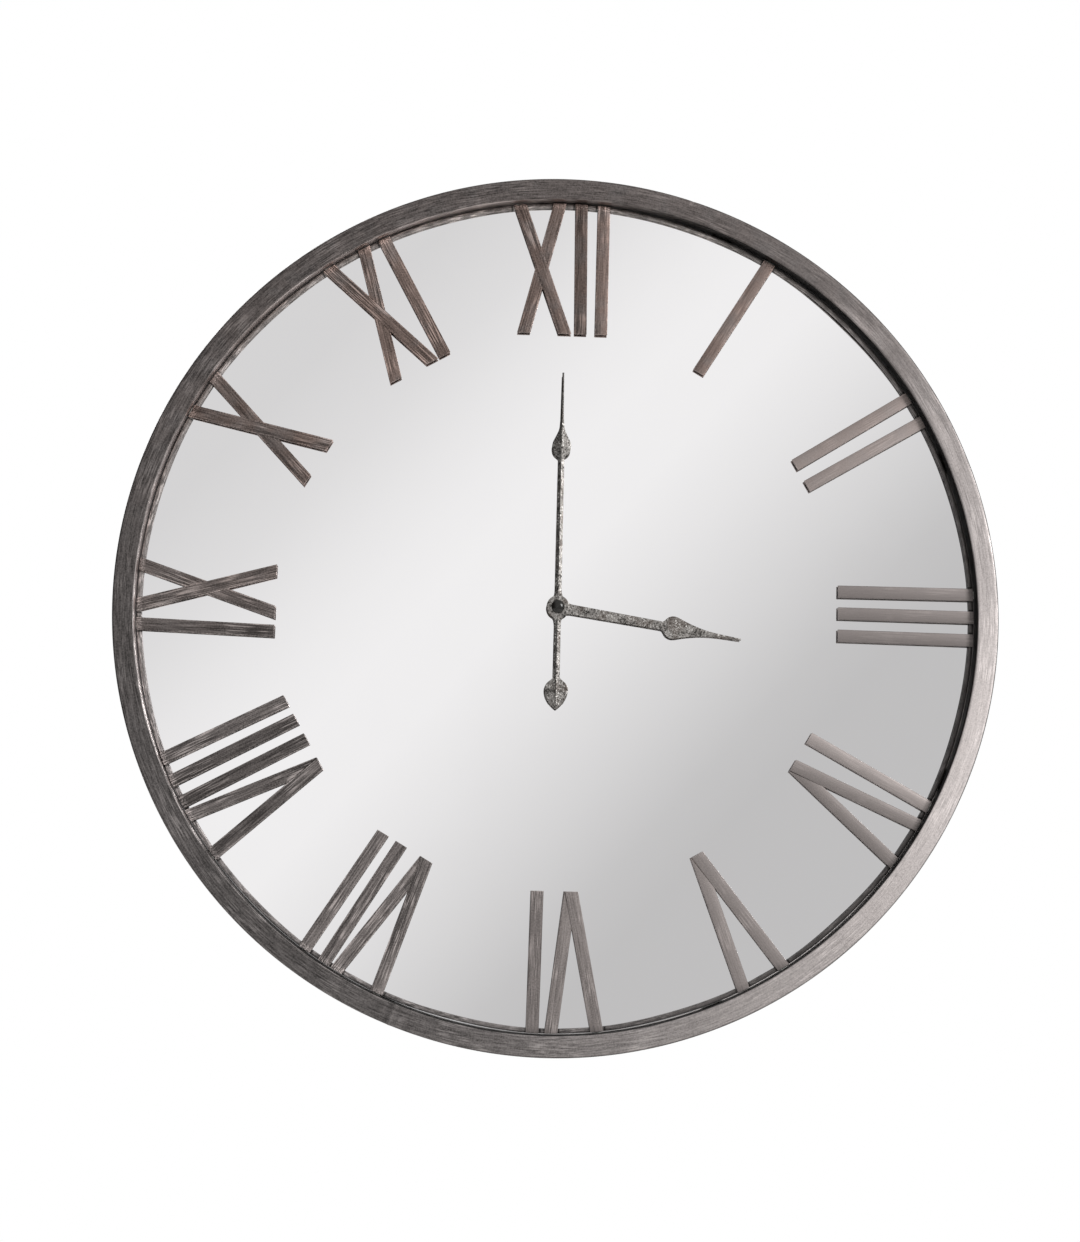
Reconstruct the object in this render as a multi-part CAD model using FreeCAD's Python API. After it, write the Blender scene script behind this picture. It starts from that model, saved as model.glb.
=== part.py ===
"""Mirrored wall clock: a rolled steel rim, welded Roman numerals, a mirror dial and a quartz movement.

The clock is laid out on its back, face up: X to the right, Y towards twelve o'clock and Z towards
the viewer. Depths are measured back from the front face of the rim. Each finished piece is then
stood up, so that its face looks along -Y, +Z is up, and the origin is on the hands' axis, halfway
between the rim's face and the wall. All sizes are in millimetres.
"""
import FreeCAD
import Part
import math
import os

Vector = FreeCAD.Vector

# ---------------------------------------------------------------- rim and dial
RIM_RADIUS = 400.0
RIM_FACE = 19.5
RIM_DEPTH = 40.0
RIM_WALL = 1.2
RIM_EDGE_ROUND = 1.6

NUMERAL_SETBACK = 9.5
STRIP_WIDTH = 11.5
STRIP_THICKNESS = 2.0
NUMERAL_LENGTH = 124.5
V_MOUTH = 41.0
V_FOOT = 1.0
X_SPREAD = 38.0

RING_WIDTH = 4.0
RING_DEPTH = 2.5
RING_GAP = 1.0
TAB_HALF_ANGLE = 0.5

GLAZING_PAD = 0.5
GLAZING_PAD_HALF_ANGLE = 0.8
MIRROR_THICKNESS = 3.0
BACKING_THICKNESS = 3.0
DIAL_CLEARANCE = 0.7

# ---------------------------------------------------------------- fixings behind the dial
CLIPS = 8
CLIP_THICKNESS = 1.2
CLIP_HALF_ANGLE = 1.5
CLIP_LEG = 12.0
CLIP_FOOT = 14.0
SCREW_RADIUS = 1.5
SCREW_HEAD_RADIUS = 3.2
SCREW_HEAD_HEIGHT = 1.8
SCREW_LENGTH = 6.0

HANGER_WIDTH = 50.0
HANGER_DROP = 26.0
HANGER_THICKNESS = 1.5
HANGER_FROM_BACK = 4.0
HANGER_LEG = 12.0
KEYHOLE_RADIUS = 5.0
KEYHOLE_SLOT_RADIUS = 2.5
KEYHOLE_RISE = 9.0
RIVET_SPACING = 34.0
RIVET_RADIUS = 1.6
RIVET_HEAD_RADIUS = 3.0
RIVET_HEAD_HEIGHT = 1.2

BUMPER_RADIUS = 6.0
BUMPER_HEIGHT = 2.0
BUMPER_ANGLES = (45.0, 135.0, 225.0, 315.0)

# ---------------------------------------------------------------- hands
HUB_RADIUS = 10.3
HOUR_HUB_RADIUS = 9.5
HAND_THICKNESS = 1.0
HAND_RIDGE = 0.8
HOUR_HAND_ANGLE = 98.6
MINUTE_HAND_ANGLE = 0.0
HAND_GAP = 1.4
CAP_RADIUS = 6.0
CAP_HEIGHT = 4.4

# ---------------------------------------------------------------- movement
CASE_SIDE = 56.0
CASE_DEPTH = 16.0
CASE_WALL = 1.5
CASE_GASKET = 1.0
BATTERY_RADIUS = 7.15
BATTERY_LENGTH = 50.2
BATTERY_NUB_RADIUS = 2.6
BATTERY_NUB = 1.2
BATTERY_CLEARANCE = 0.35
CONTACT_THICKNESS = 0.5
POST_RADIUS = 4.0
POST_FLANGE_RADIUS = 7.0
POST_FLANGE = 0.6
POST_HOLE_CLEARANCE = 1.0
NUT_HEIGHT = 2.2
NUT_ACROSS_FLATS = 14.0
WASHER_RADIUS = 8.5
WASHER_THICKNESS = 0.5
POST_PROUD = 1.0

HOUR_TUBE_RADIUS = 2.5
MINUTE_ARBOR_RADIUS = 1.6
HAND_SEAT_RADIUS = 1.25
PIVOT_RADIUS = 0.5
KNOB_ARBOR_RADIUS = 1.25
CLUTCH_SEAT_RADIUS = 1.8
RUNNING_FIT = 0.05
WHEEL_THICKNESS = 0.8
PINION_THICKNESS = 1.1
WHEEL_GAP = 0.5
PLATE_THICKNESS = 1.0
PLATE_GAP = 0.4
PILLAR_RADIUS = 1.5

PRESSURE_ANGLE = math.radians(20.0)
TOOTH_ADDENDUM = 0.8
TOOTH_DEDENDUM = 1.2
TOOTH_SLACK = 0.18

# Teeth of each wheel and pinion, and the distances between the arbors that they join.
CANNON_TEETH = 12
MINUTE_WORK_TEETH = 36
MINUTE_WORK_PINION_TEETH = 10
HOUR_TEETH = 40
SETTING_TEETH = 12
CENTRE_TEETH = 60
THIRD_PINION_TEETH = 8
THIRD_TEETH = 64
SECONDS_PINION_TEETH = 8
SECONDS_TEETH = 50
INTERMEDIATE_PINION_TEETH = 10
INTERMEDIATE_TEETH = 60
ROTOR_PINION_TEETH = 10
MINUTE_WORK_REACH = 9.6
THIRD_REACH = 10.2
INTERMEDIATE_REACH = 8.4
ROTOR_REACH = 7.7
MINUTE_WORK_BEARING = -5.0
SETTING_BEARING = 0.0
THIRD_BEARING = 50.0
INTERMEDIATE_BEARING = 130.0
ROTOR_BEARING = 150.0

KNOB_RADIUS = 6.5
KNOB_HEIGHT = 2.6
KNOB_FLUTES = 18
ROTOR_MAGNET_RADIUS = 3.0
STATOR_AIR_GAP = 0.4
STATOR_THICKNESS = 0.8
COIL_RADIUS = 3.0
COIL_LENGTH = 11.0
COIL_HEIGHT = 21.3

# ---------------------------------------------------------------- worked-out sizes
TOTAL_DEPTH = RIM_DEPTH + BUMPER_HEIGHT
RIM_INNER = RIM_RADIUS - RIM_FACE
RING_OUTER = RIM_INNER - RING_GAP
RING_INNER = RING_OUTER - RING_WIDTH
NUMERAL_INNER = RING_OUTER - NUMERAL_LENGTH
DIAL_RADIUS = RIM_INNER - DIAL_CLEARANCE
RING_FRONT = NUMERAL_SETBACK + STRIP_THICKNESS
RING_BACK = RING_FRONT + RING_DEPTH
MIRROR_FRONT = RING_BACK + GLAZING_PAD
MIRROR_BACK = MIRROR_FRONT + MIRROR_THICKNESS
BACKING_BACK = MIRROR_BACK + BACKING_THICKNESS
CASE_FRONT = BACKING_BACK + CASE_GASKET
CASE_BACK = CASE_FRONT + CASE_DEPTH
CASE_HALF = CASE_SIDE / 2
CASE_INNER_HALF = CASE_HALF - CASE_WALL
CHAMBER_FRONT = CASE_FRONT + CASE_WALL
LID_FRONT = CASE_BACK - CASE_WALL
BAY_HEIGHT = 2 * (BATTERY_RADIUS + BATTERY_CLEARANCE)
BAY_TOP = -CASE_INNER_HALF + BAY_HEIGHT
CHAMBER_FLOOR = BAY_TOP + CASE_WALL
POST_HOLE_RADIUS = POST_RADIUS + POST_HOLE_CLEARANCE
NUT_BACK = MIRROR_FRONT - WASHER_THICKNESS
NUT_FRONT = NUT_BACK - NUT_HEIGHT
POST_FRONT = NUT_FRONT - POST_PROUD
HOUR_HAND_BACK = POST_FRONT - HAND_GAP
HOUR_HAND_FRONT = HOUR_HAND_BACK - HAND_THICKNESS
MINUTE_HAND_BACK = HOUR_HAND_FRONT - HAND_GAP
MINUTE_HAND_FRONT = MINUTE_HAND_BACK - HAND_THICKNESS

# Layers of the movement, from the front plate back. Each wheel lies centred behind the last one.
HOUR_LAYER = CHAMBER_FRONT + WHEEL_GAP
CANNON_LAYER = HOUR_LAYER + PINION_THICKNESS + WHEEL_GAP
CENTRE_LAYER = CANNON_LAYER + PINION_THICKNESS + PLATE_GAP
MIDDLE_FRONT = CENTRE_LAYER + PINION_THICKNESS + PLATE_GAP
MIDDLE_BACK = MIDDLE_FRONT + PLATE_THICKNESS
THIRD_LAYER = MIDDLE_BACK + PLATE_GAP
SECONDS_LAYER = THIRD_LAYER + PINION_THICKNESS + PLATE_GAP / 2
INTERMEDIATE_LAYER = SECONDS_LAYER + PINION_THICKNESS + PLATE_GAP / 2
BRIDGE_FRONT = INTERMEDIATE_LAYER + PINION_THICKNESS + PLATE_GAP
BRIDGE_BACK = BRIDGE_FRONT + PLATE_THICKNESS
BOARD_FRONT = BRIDGE_FRONT + PLATE_GAP
BOARD_BACK = BOARD_FRONT + STATOR_THICKNESS

# Each numeral's letters, left to right: the letter, and how far its centre line stands clockwise
# of the hour line at its outer end and at its inner end. They were set by hand, so they differ.
LETTERS = {
    1: (("I", 0.0, -3.0),),
    2: (("I", -17.0, -12.0), ("I", 8.5, 10.5)),
    3: (("I", -22.0, -21.5), ("I", -1.0, -1.5), ("I", 20.0, 19.0)),
    4: (("I", -20.0, -17.0), ("V", 19.5, 12.0)),
    5: (("V", -1.0, -2.0),),
    6: (("V", -23.0, -17.5), ("I", 14.0, 12.5)),
    7: (("V", -22.0, -18.0), ("I", 11.5, 8.0), ("I", 32.5, 27.0)),
    8: (("V", -28.5, -22.5), ("I", 5.5, 2.5), ("I", 26.5, 22.5), ("I", 48.0, 41.5)),
    9: (("I", -25.5, -29.0), ("X", 10.5, 7.0)),
    10: (("X", -2.0, -1.0),),
    11: (("X", -16.0, -11.0), ("I", 23.5, 21.0)),
    12: (("X", -25.5, -18.5), ("I", 13.5, 15.0), ("I", 34.5, 34.0)),
}


# ---------------------------------------------------------------- shared shapes
def level(depth):
    """The bench height of a depth measured back from the rim's face."""
    return TOTAL_DEPTH / 2 - depth


def disc(radius, front, back, centre=(0.0, 0.0)):
    """A round plate or shaft between two depths."""
    base = Vector(centre[0], centre[1], level(back))
    return Part.makeCylinder(radius, back - front, base)


def tube(outer, inner, front, back, centre=(0.0, 0.0)):
    """A round plate or shaft with a bore right through it."""
    return disc(outer, front, back, centre).cut(disc(inner, front - 1, back + 1, centre))


def block(low, high, front, back):
    """A rectangular block from one corner to the other, between two depths."""
    base = Vector(low[0], low[1], level(back))
    return Part.makeBox(high[0] - low[0], high[1] - low[1], back - front, base)


def plate(points, front, back):
    """A flat plate with straight edges, between two depths."""
    corners = [Vector(x, y, level(back)) for x, y in points]
    face = Part.Face(Part.makePolygon(corners + corners[:1]))
    return face.extrude(Vector(0, 0, back - front))


def polar(radius, clock_angle):
    """The point at a radius and an angle in degrees clockwise from twelve."""
    turn = math.radians(clock_angle)
    return (radius * math.sin(turn), radius * math.cos(turn))


def beyond(start, reach, bearing):
    """The point at a reach from another, along a bearing in degrees from +X."""
    turn = math.radians(bearing)
    return (start[0] + reach * math.cos(turn), start[1] + reach * math.sin(turn))


def turned(shape, clock_angle):
    """A copy turned clockwise about the hands' axis."""
    copy = shape.copy()
    copy.rotate(Vector(0, 0, 0), Vector(0, 0, 1), -clock_angle)
    return copy


def arc_block(inner, outer, front, back, clock_angle, half_angle):
    """A piece of a flat ring, centred on an angle."""
    base = Vector(0, 0, level(back))
    up = Vector(0, 0, 1)
    whole = Part.makeCylinder(outer, back - front, base, up, 2 * half_angle)
    piece = whole.cut(disc(inner, front - 1, back + 1))
    return turned(piece, clock_angle - 90 + half_angle)


def fused(shapes):
    """Several overlapping or touching shapes as one solid."""
    whole = shapes[0].multiFuse(shapes[1:]) if len(shapes) > 1 else shapes[0]
    return whole.removeSplitter()


def group(shapes):
    """Separate solids that share one node."""
    return Part.makeCompound(shapes)


def write(name, shape):
    """Stands a piece up, face to the front, and writes it."""
    standing = shape.copy()
    standing.rotate(Vector(0, 0, 0), Vector(1, 0, 0), 90)
    standing.exportStep("parts/" + name + ".step")
    print(name, len(standing.Solids), "solids", round(standing.Volume, 1), "mm3", standing.isValid())


# ---------------------------------------------------------------- rim and ring
def rim_tube():
    """The rim: a rectangular tube rolled into a hoop, hollow all the way round."""
    outside = tube(RIM_RADIUS, RIM_INNER, 0, RIM_DEPTH)
    edges = [e for e in outside.Edges if e.Length > RIM_INNER]
    outside = outside.makeFillet(RIM_EDGE_ROUND, edges)
    hollow = tube(RIM_RADIUS - RIM_WALL, RIM_INNER + RIM_WALL, RIM_WALL, RIM_DEPTH - RIM_WALL)
    return outside.cut(hollow).cut(group(clip_screw_shanks() + hanger_rivet_shanks()))


def numeral_ring():
    """The thin flat ring that carries the numerals, just inside the rim."""
    return tube(RING_OUTER, RING_INNER, RING_FRONT, RING_BACK)


def first_strip_angles():
    """The angle where each numeral's first strip meets the ring."""
    return [
        30 * hour + math.degrees(math.asin(stroke_ends(letters[0])[0][0] / RING_OUTER))
        for hour, letters in LETTERS.items()
    ]


def ring_tabs():
    """Weld tabs from the ring to the rim, one behind each numeral's first strip."""
    return group([
        arc_block(RING_OUTER, RIM_INNER, RING_FRONT, RING_BACK, angle, TAB_HALF_ANGLE)
        for angle in first_strip_angles()
    ])


# ---------------------------------------------------------------- numerals
def stroke_ends(letter):
    """The offsets of a letter's strips from the hour line, as (outer, inner) pairs."""
    kind, outer, inner = letter
    if kind == "I":
        return [(outer, inner)]
    if kind == "V":
        return [(outer - V_MOUTH / 2, inner - V_FOOT / 2), (outer + V_MOUTH / 2, inner + V_FOOT / 2)]
    half = X_SPREAD / 2
    return [(outer - half, inner + half), (outer + half, inner - half)]


def strip(outer, inner):
    """One flat strip, from its square inner end to the ring's outer edge."""
    slope = (outer - inner) / NUMERAL_LENGTH
    half = STRIP_WIDTH / 2 * math.hypot(1, slope)
    past = inner + slope * (NUMERAL_LENGTH + STRIP_WIDTH)
    top = RING_OUTER + STRIP_WIDTH
    corners = [(inner - half, NUMERAL_INNER), (inner + half, NUMERAL_INNER), (past + half, top), (past - half, top)]
    return plate(corners, NUMERAL_SETBACK, RING_FRONT)


def letter_solid(letter):
    """A letter at twelve o'clock: its strips butted and welded into one flat piece."""
    strips = fused([strip(outer, inner) for outer, inner in stroke_ends(letter)])
    return strips.common(disc(RING_OUTER, NUMERAL_SETBACK, RING_FRONT)).Solids[0]


def numeral(hour):
    """The letters of one hour, in their place on the ring."""
    return group([turned(letter_solid(letter), 30 * hour) for letter in LETTERS[hour]])


# ---------------------------------------------------------------- mirror, backing and what holds them
def glazing_pads():
    """Thin felt pads between the ring and the mirror, hidden behind each numeral's first strip."""
    return group([
        arc_block(RING_INNER, RING_OUTER, RING_BACK, MIRROR_FRONT, angle, GLAZING_PAD_HALF_ANGLE)
        for angle in first_strip_angles()
    ])


def mirror_glass():
    """The round mirror that is the dial."""
    return tube(DIAL_RADIUS, POST_HOLE_RADIUS, MIRROR_FRONT, MIRROR_BACK)


def backing_board():
    """The hardboard behind the mirror."""
    return tube(DIAL_RADIUS, POST_HOLE_RADIUS, MIRROR_BACK, BACKING_BACK)


def clip_angles():
    """The angles of the clips, clear of the hanger at the top."""
    return [360 / CLIPS * (i + 0.5) for i in range(CLIPS)]


def radial_pin(radius, inner, outer, depth, clock_angle, sideways=0.0):
    """A round pin that points at the hands' axis, between two distances from it."""
    base = Vector(sideways, inner, level(depth))
    return turned(Part.makeCylinder(radius, outer - inner, base, Vector(0, 1, 0)), clock_angle)


def clip_screw_depth():
    """How far back the clip screws stand: the middle of the clips' legs."""
    return BACKING_BACK + CLIP_LEG / 2 + CLIP_THICKNESS / 2


def clip_screw_seat():
    """How far from the axis a screw's flat head rests on the hollow inside of its clip's leg."""
    return math.sqrt((RIM_INNER - CLIP_THICKNESS) ** 2 - SCREW_HEAD_RADIUS ** 2)


def clip_screw_shanks():
    """The threaded shanks of the clip screws."""
    inner = clip_screw_seat()
    outer = inner + SCREW_LENGTH
    return [radial_pin(SCREW_RADIUS, inner, outer, clip_screw_depth(), a) for a in clip_angles()]


def backing_clips():
    """Steel angle clips: a leg against the rim's inside wall and a foot on the backing."""
    clips = []
    for angle in clip_angles():
        leg = arc_block(RIM_INNER - CLIP_THICKNESS, RIM_INNER, BACKING_BACK, BACKING_BACK + CLIP_LEG,
                        angle, CLIP_HALF_ANGLE)
        foot = arc_block(RIM_INNER - CLIP_FOOT, RIM_INNER - CLIP_THICKNESS, BACKING_BACK,
                         BACKING_BACK + CLIP_THICKNESS, angle, CLIP_HALF_ANGLE)
        clips.append(fused([leg, foot]))
    return group(clips).cut(group(clip_screw_shanks()))


def clip_screws():
    """Pan-head screws through the clips' legs into the rim's inside wall."""
    screws = []
    for angle, shank in zip(clip_angles(), clip_screw_shanks()):
        seat = clip_screw_seat()
        head = radial_pin(SCREW_HEAD_RADIUS, seat - SCREW_HEAD_HEIGHT, seat, clip_screw_depth(), angle)
        screws.append(fused([head, shank]))
    return group(screws)


def hanger_back():
    """The depth of the hanger plate's back face."""
    return RIM_DEPTH - HANGER_FROM_BACK


def hanger_leg_front():
    """The depth where the hanger's leg begins, on the rim's inside wall."""
    return hanger_back() - HANGER_LEG


def hanger_rivet_depth():
    """The depth of the hanger's rivets: the middle of its leg."""
    return (hanger_leg_front() + hanger_back() - HANGER_THICKNESS) / 2


def hanger_seat():
    """The height of the rim's inside wall above the hands' axis at the hanger's corners."""
    return math.sqrt((RIM_INNER - HANGER_THICKNESS) ** 2 - (HANGER_WIDTH / 2) ** 2)


def rivet_angles():
    """The angles of the two rivets, either side of twelve o'clock."""
    half = math.degrees(math.asin(RIVET_SPACING / 2 / RIM_INNER))
    return (-half, half)


def hanger_rivet_shanks():
    """The shanks of the rivets, through the leg and the rim's inside wall."""
    inner = RIM_INNER - HANGER_THICKNESS
    outer = RIM_INNER + RIM_WALL + RIVET_HEAD_HEIGHT
    return [radial_pin(RIVET_RADIUS, inner, outer, hanger_rivet_depth(), a) for a in rivet_angles()]


def hanger_plate():
    """The keyhole hanger: a plate parallel to the wall with a leg riveted inside the rim."""
    half_angle = math.degrees(math.asin(HANGER_WIDTH / 2 / RIM_INNER))
    leg = arc_block(RIM_INNER - HANGER_THICKNESS, RIM_INNER, hanger_leg_front(), hanger_back(), 0, half_angle)
    low = hanger_seat() - HANGER_DROP
    front = hanger_back() - HANGER_THICKNESS
    sheet = block((-HANGER_WIDTH / 2, low), (HANGER_WIDTH / 2, RIM_INNER), front, hanger_back())
    sheet = sheet.common(disc(RIM_INNER - HANGER_THICKNESS / 2, front, hanger_back()))
    hook = keyhole_centre()
    entry = disc(KEYHOLE_RADIUS, front - 1, hanger_back() + 1, hook)
    slot = block((-KEYHOLE_SLOT_RADIUS, hook[1]), (KEYHOLE_SLOT_RADIUS, hook[1] + KEYHOLE_RISE), front - 1,
                 hanger_back() + 1)
    seat = disc(KEYHOLE_SLOT_RADIUS, front - 1, hanger_back() + 1, (0, hook[1] + KEYHOLE_RISE))
    plate_solid = fused([leg, sheet]).cut(fused([entry, slot, seat]))
    return plate_solid.cut(group(hanger_rivet_shanks()))


def keyhole_centre():
    """The centre of the keyhole's round entry."""
    return (0.0, hanger_seat() - HANGER_DROP + KEYHOLE_RADIUS + 4 * HANGER_THICKNESS)


def hanger_rivets():
    """Two rivets with a formed head each side."""
    rivets = []
    for angle, shank in zip(rivet_angles(), hanger_rivet_shanks()):
        inner = RIM_INNER - HANGER_THICKNESS
        outer = RIM_INNER + RIM_WALL
        near = radial_pin(RIVET_HEAD_RADIUS, inner - RIVET_HEAD_HEIGHT, inner, hanger_rivet_depth(), angle)
        far = radial_pin(RIVET_HEAD_RADIUS, outer, outer + RIVET_HEAD_HEIGHT, hanger_rivet_depth(), angle)
        rivets.append(fused([near, shank, far.cut(hoop_outside())]))
    return group(rivets)


def hoop_outside():
    """The metal of the rim's inside wall, which a rivet's far head is formed against."""
    return tube(RIM_INNER + RIM_WALL, RIM_INNER - RIM_WALL, 0, RIM_DEPTH)


def wall_bumpers():
    """Rubber pads on the back of the rim, which keep it off the wall."""
    middle = RIM_RADIUS - RIM_FACE / 2
    return group([disc(BUMPER_RADIUS, RIM_DEPTH, TOTAL_DEPTH, polar(middle, a)) for a in BUMPER_ANGLES])


# ---------------------------------------------------------------- hands and their fixings
def mirrored_outline(points, front, back):
    """A plate from a half outline of (half width, distance) points: lines, with a curve through each list."""
    edges = []
    for side in (1, -1):
        last = None
        for stretch in points:
            curve = [Vector(side * x, y, level(back)) for x, y in stretch]
            if last is not None and (last - curve[0]).Length > 1e-6:
                edges.append(Part.makeLine(last, curve[0]))
            if len(curve) == 2:
                edges.append(Part.makeLine(curve[0], curve[1]))
            else:
                spline = Part.BSplineCurve()
                spline.interpolate(curve)
                edges.append(spline.toShape())
            last = curve[-1]
    near = points[0][0]
    far = points[-1][-1]
    edges.append(Part.makeLine(Vector(-near[0], near[1], level(back)), Vector(near[0], near[1], level(back))))
    if far[0] > 0:
        edges.append(Part.makeLine(Vector(-far[0], far[1], level(back)), Vector(far[0], far[1], level(back))))
    face = Part.Face(Part.Wire(Part.__sortEdges__(edges)))
    return face.extrude(Vector(0, 0, back - front))


def ridge(near, far, front):
    """A raised centre ridge: (half width, distance) at each end, on a hand's front face."""
    ends = []
    for half, y in (near, far):
        corners = [Vector(-half, y, level(front)), Vector(half, y, level(front)),
                   Vector(0, y, level(front - HAND_RIDGE * half / near[0]))]
        ends.append(Part.makePolygon(corners + corners[:1]))
    return Part.makeLoft(ends, True, True)


def minute_hand():
    """The long hand: a slim shaft with a leaf and a needle point, and a leaf-shaped counterweight."""
    front = MINUTE_HAND_FRONT
    back = MINUTE_HAND_BACK
    arm = mirrored_outline([
        [(5.6, 8.0), (3.4, 11.5), (2.9, 16.0)],
        [(2.7, 136.5), (6.6, 139.6), (8.7, 147.0), (5.9, 155.5), (3.0, 162.0), (1.3, 171.0)],
        [(1.3, 171.0), (0.8, 216.5)],
    ], front, back)
    tail = mirrored_outline([
        [(5.6, 8.0), (3.6, 11.5), (3.0, 16.0)],
        [(3.0, 63.5), (7.4, 66.8), (10.6, 75.5), (7.6, 86.0), (2.6, 92.0), (0.6, 94.0)],
    ], front, back)
    hub = disc(HUB_RADIUS, front, back)
    rise = ridge((2.2, HUB_RADIUS), (0.7, 205.0), front)
    fall = ridge((2.2, HUB_RADIUS), (1.6, 86.0), front)
    whole = fused([hub, arm, turned(tail, 180), rise, turned(fall, 180)])
    bored = whole.cut(disc(HAND_SEAT_RADIUS, front - 2, back + 1))
    return turned(bored, MINUTE_HAND_ANGLE)


def hour_hand():
    """The short hand: a tapered shaft with a larger leaf and a needle point."""
    front = HOUR_HAND_FRONT
    back = HOUR_HAND_BACK
    arm = mirrored_outline([
        [(4.6, 6.0), (3.8, 97.0)],
        [(3.8, 97.0), (8.2, 99.6), (10.2, 105.8), (6.9, 117.5), (3.7, 130.0), (1.9, 143.0)],
        [(1.9, 143.0), (0.8, 168.5)],
    ], front, back)
    hub = disc(HOUR_HUB_RADIUS, front, back)
    rise = ridge((2.2, HUB_RADIUS), (0.7, 158.0), front)
    bored = fused([hub, arm, rise]).cut(disc(HOUR_TUBE_RADIUS, front - 1, back + 1))
    return turned(bored, HOUR_HAND_ANGLE)


def cap_nut():
    """The domed nut that holds the minute hand on its arbor."""
    skirt = CAP_HEIGHT / 4
    top = MINUTE_HAND_FRONT - skirt
    body = disc(CAP_RADIUS, top, MINUTE_HAND_FRONT)
    rise = CAP_HEIGHT - skirt
    dome_radius = (CAP_RADIUS ** 2 + rise ** 2) / (2 * rise)
    ball = Part.makeSphere(dome_radius, Vector(0, 0, level(top) + rise - dome_radius))
    dome = ball.common(disc(CAP_RADIUS, top - rise, top))
    bore = disc(HAND_SEAT_RADIUS, MINUTE_HAND_FRONT - CAP_HEIGHT / 2, MINUTE_HAND_FRONT + 1)
    return fused([body, dome]).cut(bore)


def centre_post():
    """The threaded brass post that clamps the movement to the dial."""
    post = disc(POST_RADIUS, POST_FRONT, CHAMBER_FRONT)
    flange = disc(POST_FLANGE_RADIUS, CHAMBER_FRONT - POST_FLANGE, CHAMBER_FRONT)
    return fused([post, flange]).cut(disc(HOUR_TUBE_RADIUS + RUNNING_FIT, POST_FRONT - 1, CHAMBER_FRONT + 1))


def dial_washer():
    """The brass washer between the nut and the mirror."""
    return tube(WASHER_RADIUS, POST_RADIUS, NUT_BACK, MIRROR_FRONT)


def dial_nut():
    """The hexagonal nut on the post."""
    corner = NUT_ACROSS_FLATS / 2 / math.cos(math.radians(30))
    points = [beyond((0, 0), corner, 60 * i) for i in range(6)]
    return plate(points, NUT_FRONT, NUT_BACK).cut(disc(POST_RADIUS, NUT_FRONT - 1, NUT_BACK + 1))


def gasket():
    """The rubber washer between the movement and the backing."""
    return tube(1.6 * WASHER_RADIUS, POST_HOLE_RADIUS, BACKING_BACK, CASE_FRONT)


# ---------------------------------------------------------------- gears
def involute(angle):
    """The involute function, tan(angle) - angle."""
    return math.tan(angle) - angle


def tooth_half_angle(radius, pitch_radius, teeth):
    """Half the angle that a tooth takes up at a radius; its flank is radial inside the base circle."""
    base = pitch_radius * math.cos(PRESSURE_ANGLE)
    at_pitch = math.pi / teeth * (0.5 - TOOTH_SLACK / 2)
    lean = math.acos(base / radius) if radius > base else 0.0
    return at_pitch + involute(PRESSURE_ANGLE) - involute(lean)


def gear(teeth, module, front, back, centre, phase):
    """A toothed disc; phase is the bearing in radians of the middle of one tooth."""
    pitch_radius = teeth * module / 2
    root = pitch_radius - TOOTH_DEDENDUM * module
    tip = pitch_radius + TOOTH_ADDENDUM * module
    half_way = (pitch_radius + tip) / 2
    points = []
    for i in range(teeth):
        middle = phase + 2 * math.pi * i / teeth
        for radius, side in ((root, -1), (pitch_radius, -1), (half_way, -1), (tip, -1),
                             (tip, 1), (half_way, 1), (pitch_radius, 1), (root, 1)):
            turn = middle + side * tooth_half_angle(radius, pitch_radius, teeth)
            points.append((centre[0] + radius * math.cos(turn), centre[1] + radius * math.sin(turn)))
    return plate(points, front, back)


def meshed_phase(bearing, teeth, phase, mate_teeth):
    """The phase of a mate that stands at a bearing in degrees from a gear of known teeth and phase."""
    turn = math.radians(bearing)
    return turn + math.pi + math.pi / mate_teeth - (phase - turn) * teeth / mate_teeth


def module_for(reach, teeth, mate_teeth):
    """The module that makes two gears mesh at a distance."""
    return 2 * reach / (teeth + mate_teeth)


CENTRE = (0.0, 0.0)
MINUTE_WORK_AXIS = beyond(CENTRE, MINUTE_WORK_REACH, MINUTE_WORK_BEARING)
SETTING_AXIS = beyond(MINUTE_WORK_AXIS, MINUTE_WORK_REACH, SETTING_BEARING)
THIRD_AXIS = beyond(CENTRE, THIRD_REACH, THIRD_BEARING)
INTERMEDIATE_AXIS = beyond(CENTRE, INTERMEDIATE_REACH, INTERMEDIATE_BEARING)
ROTOR_AXIS = beyond(INTERMEDIATE_AXIS, ROTOR_REACH, ROTOR_BEARING)


def wheel(teeth, module, layer, centre, phase):
    """A thin toothed wheel, centred in the thickness of its layer."""
    front = layer + (PINION_THICKNESS - WHEEL_THICKNESS) / 2
    return gear(teeth, module, front, front + WHEEL_THICKNESS, centre, phase)


def pinion(teeth, module, layer, centre, phase):
    """A small toothed pinion, as thick as its layer."""
    return gear(teeth, module, layer, layer + PINION_THICKNESS, centre, phase)


def minute_arbor():
    """The minute arbor: hand seat, shaft, cannon pinion and the seat that the centre wheel slips on."""
    module = module_for(MINUTE_WORK_REACH, CANNON_TEETH, MINUTE_WORK_TEETH)
    seat = disc(HAND_SEAT_RADIUS, MINUTE_HAND_FRONT - CAP_HEIGHT / 2, MINUTE_HAND_BACK)
    shaft = disc(MINUTE_ARBOR_RADIUS, MINUTE_HAND_BACK, CANNON_LAYER)
    leaves = pinion(CANNON_TEETH, module, CANNON_LAYER, CENTRE, 0.0)
    clutch = disc(CLUTCH_SEAT_RADIUS, CANNON_LAYER + PINION_THICKNESS, MIDDLE_FRONT - RUNNING_FIT)
    pivot = disc(PIVOT_RADIUS + RUNNING_FIT, CANNON_LAYER - WHEEL_GAP, MIDDLE_FRONT + 1)
    return fused([seat, shaft, leaves, clutch]).cut(pivot)


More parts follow.
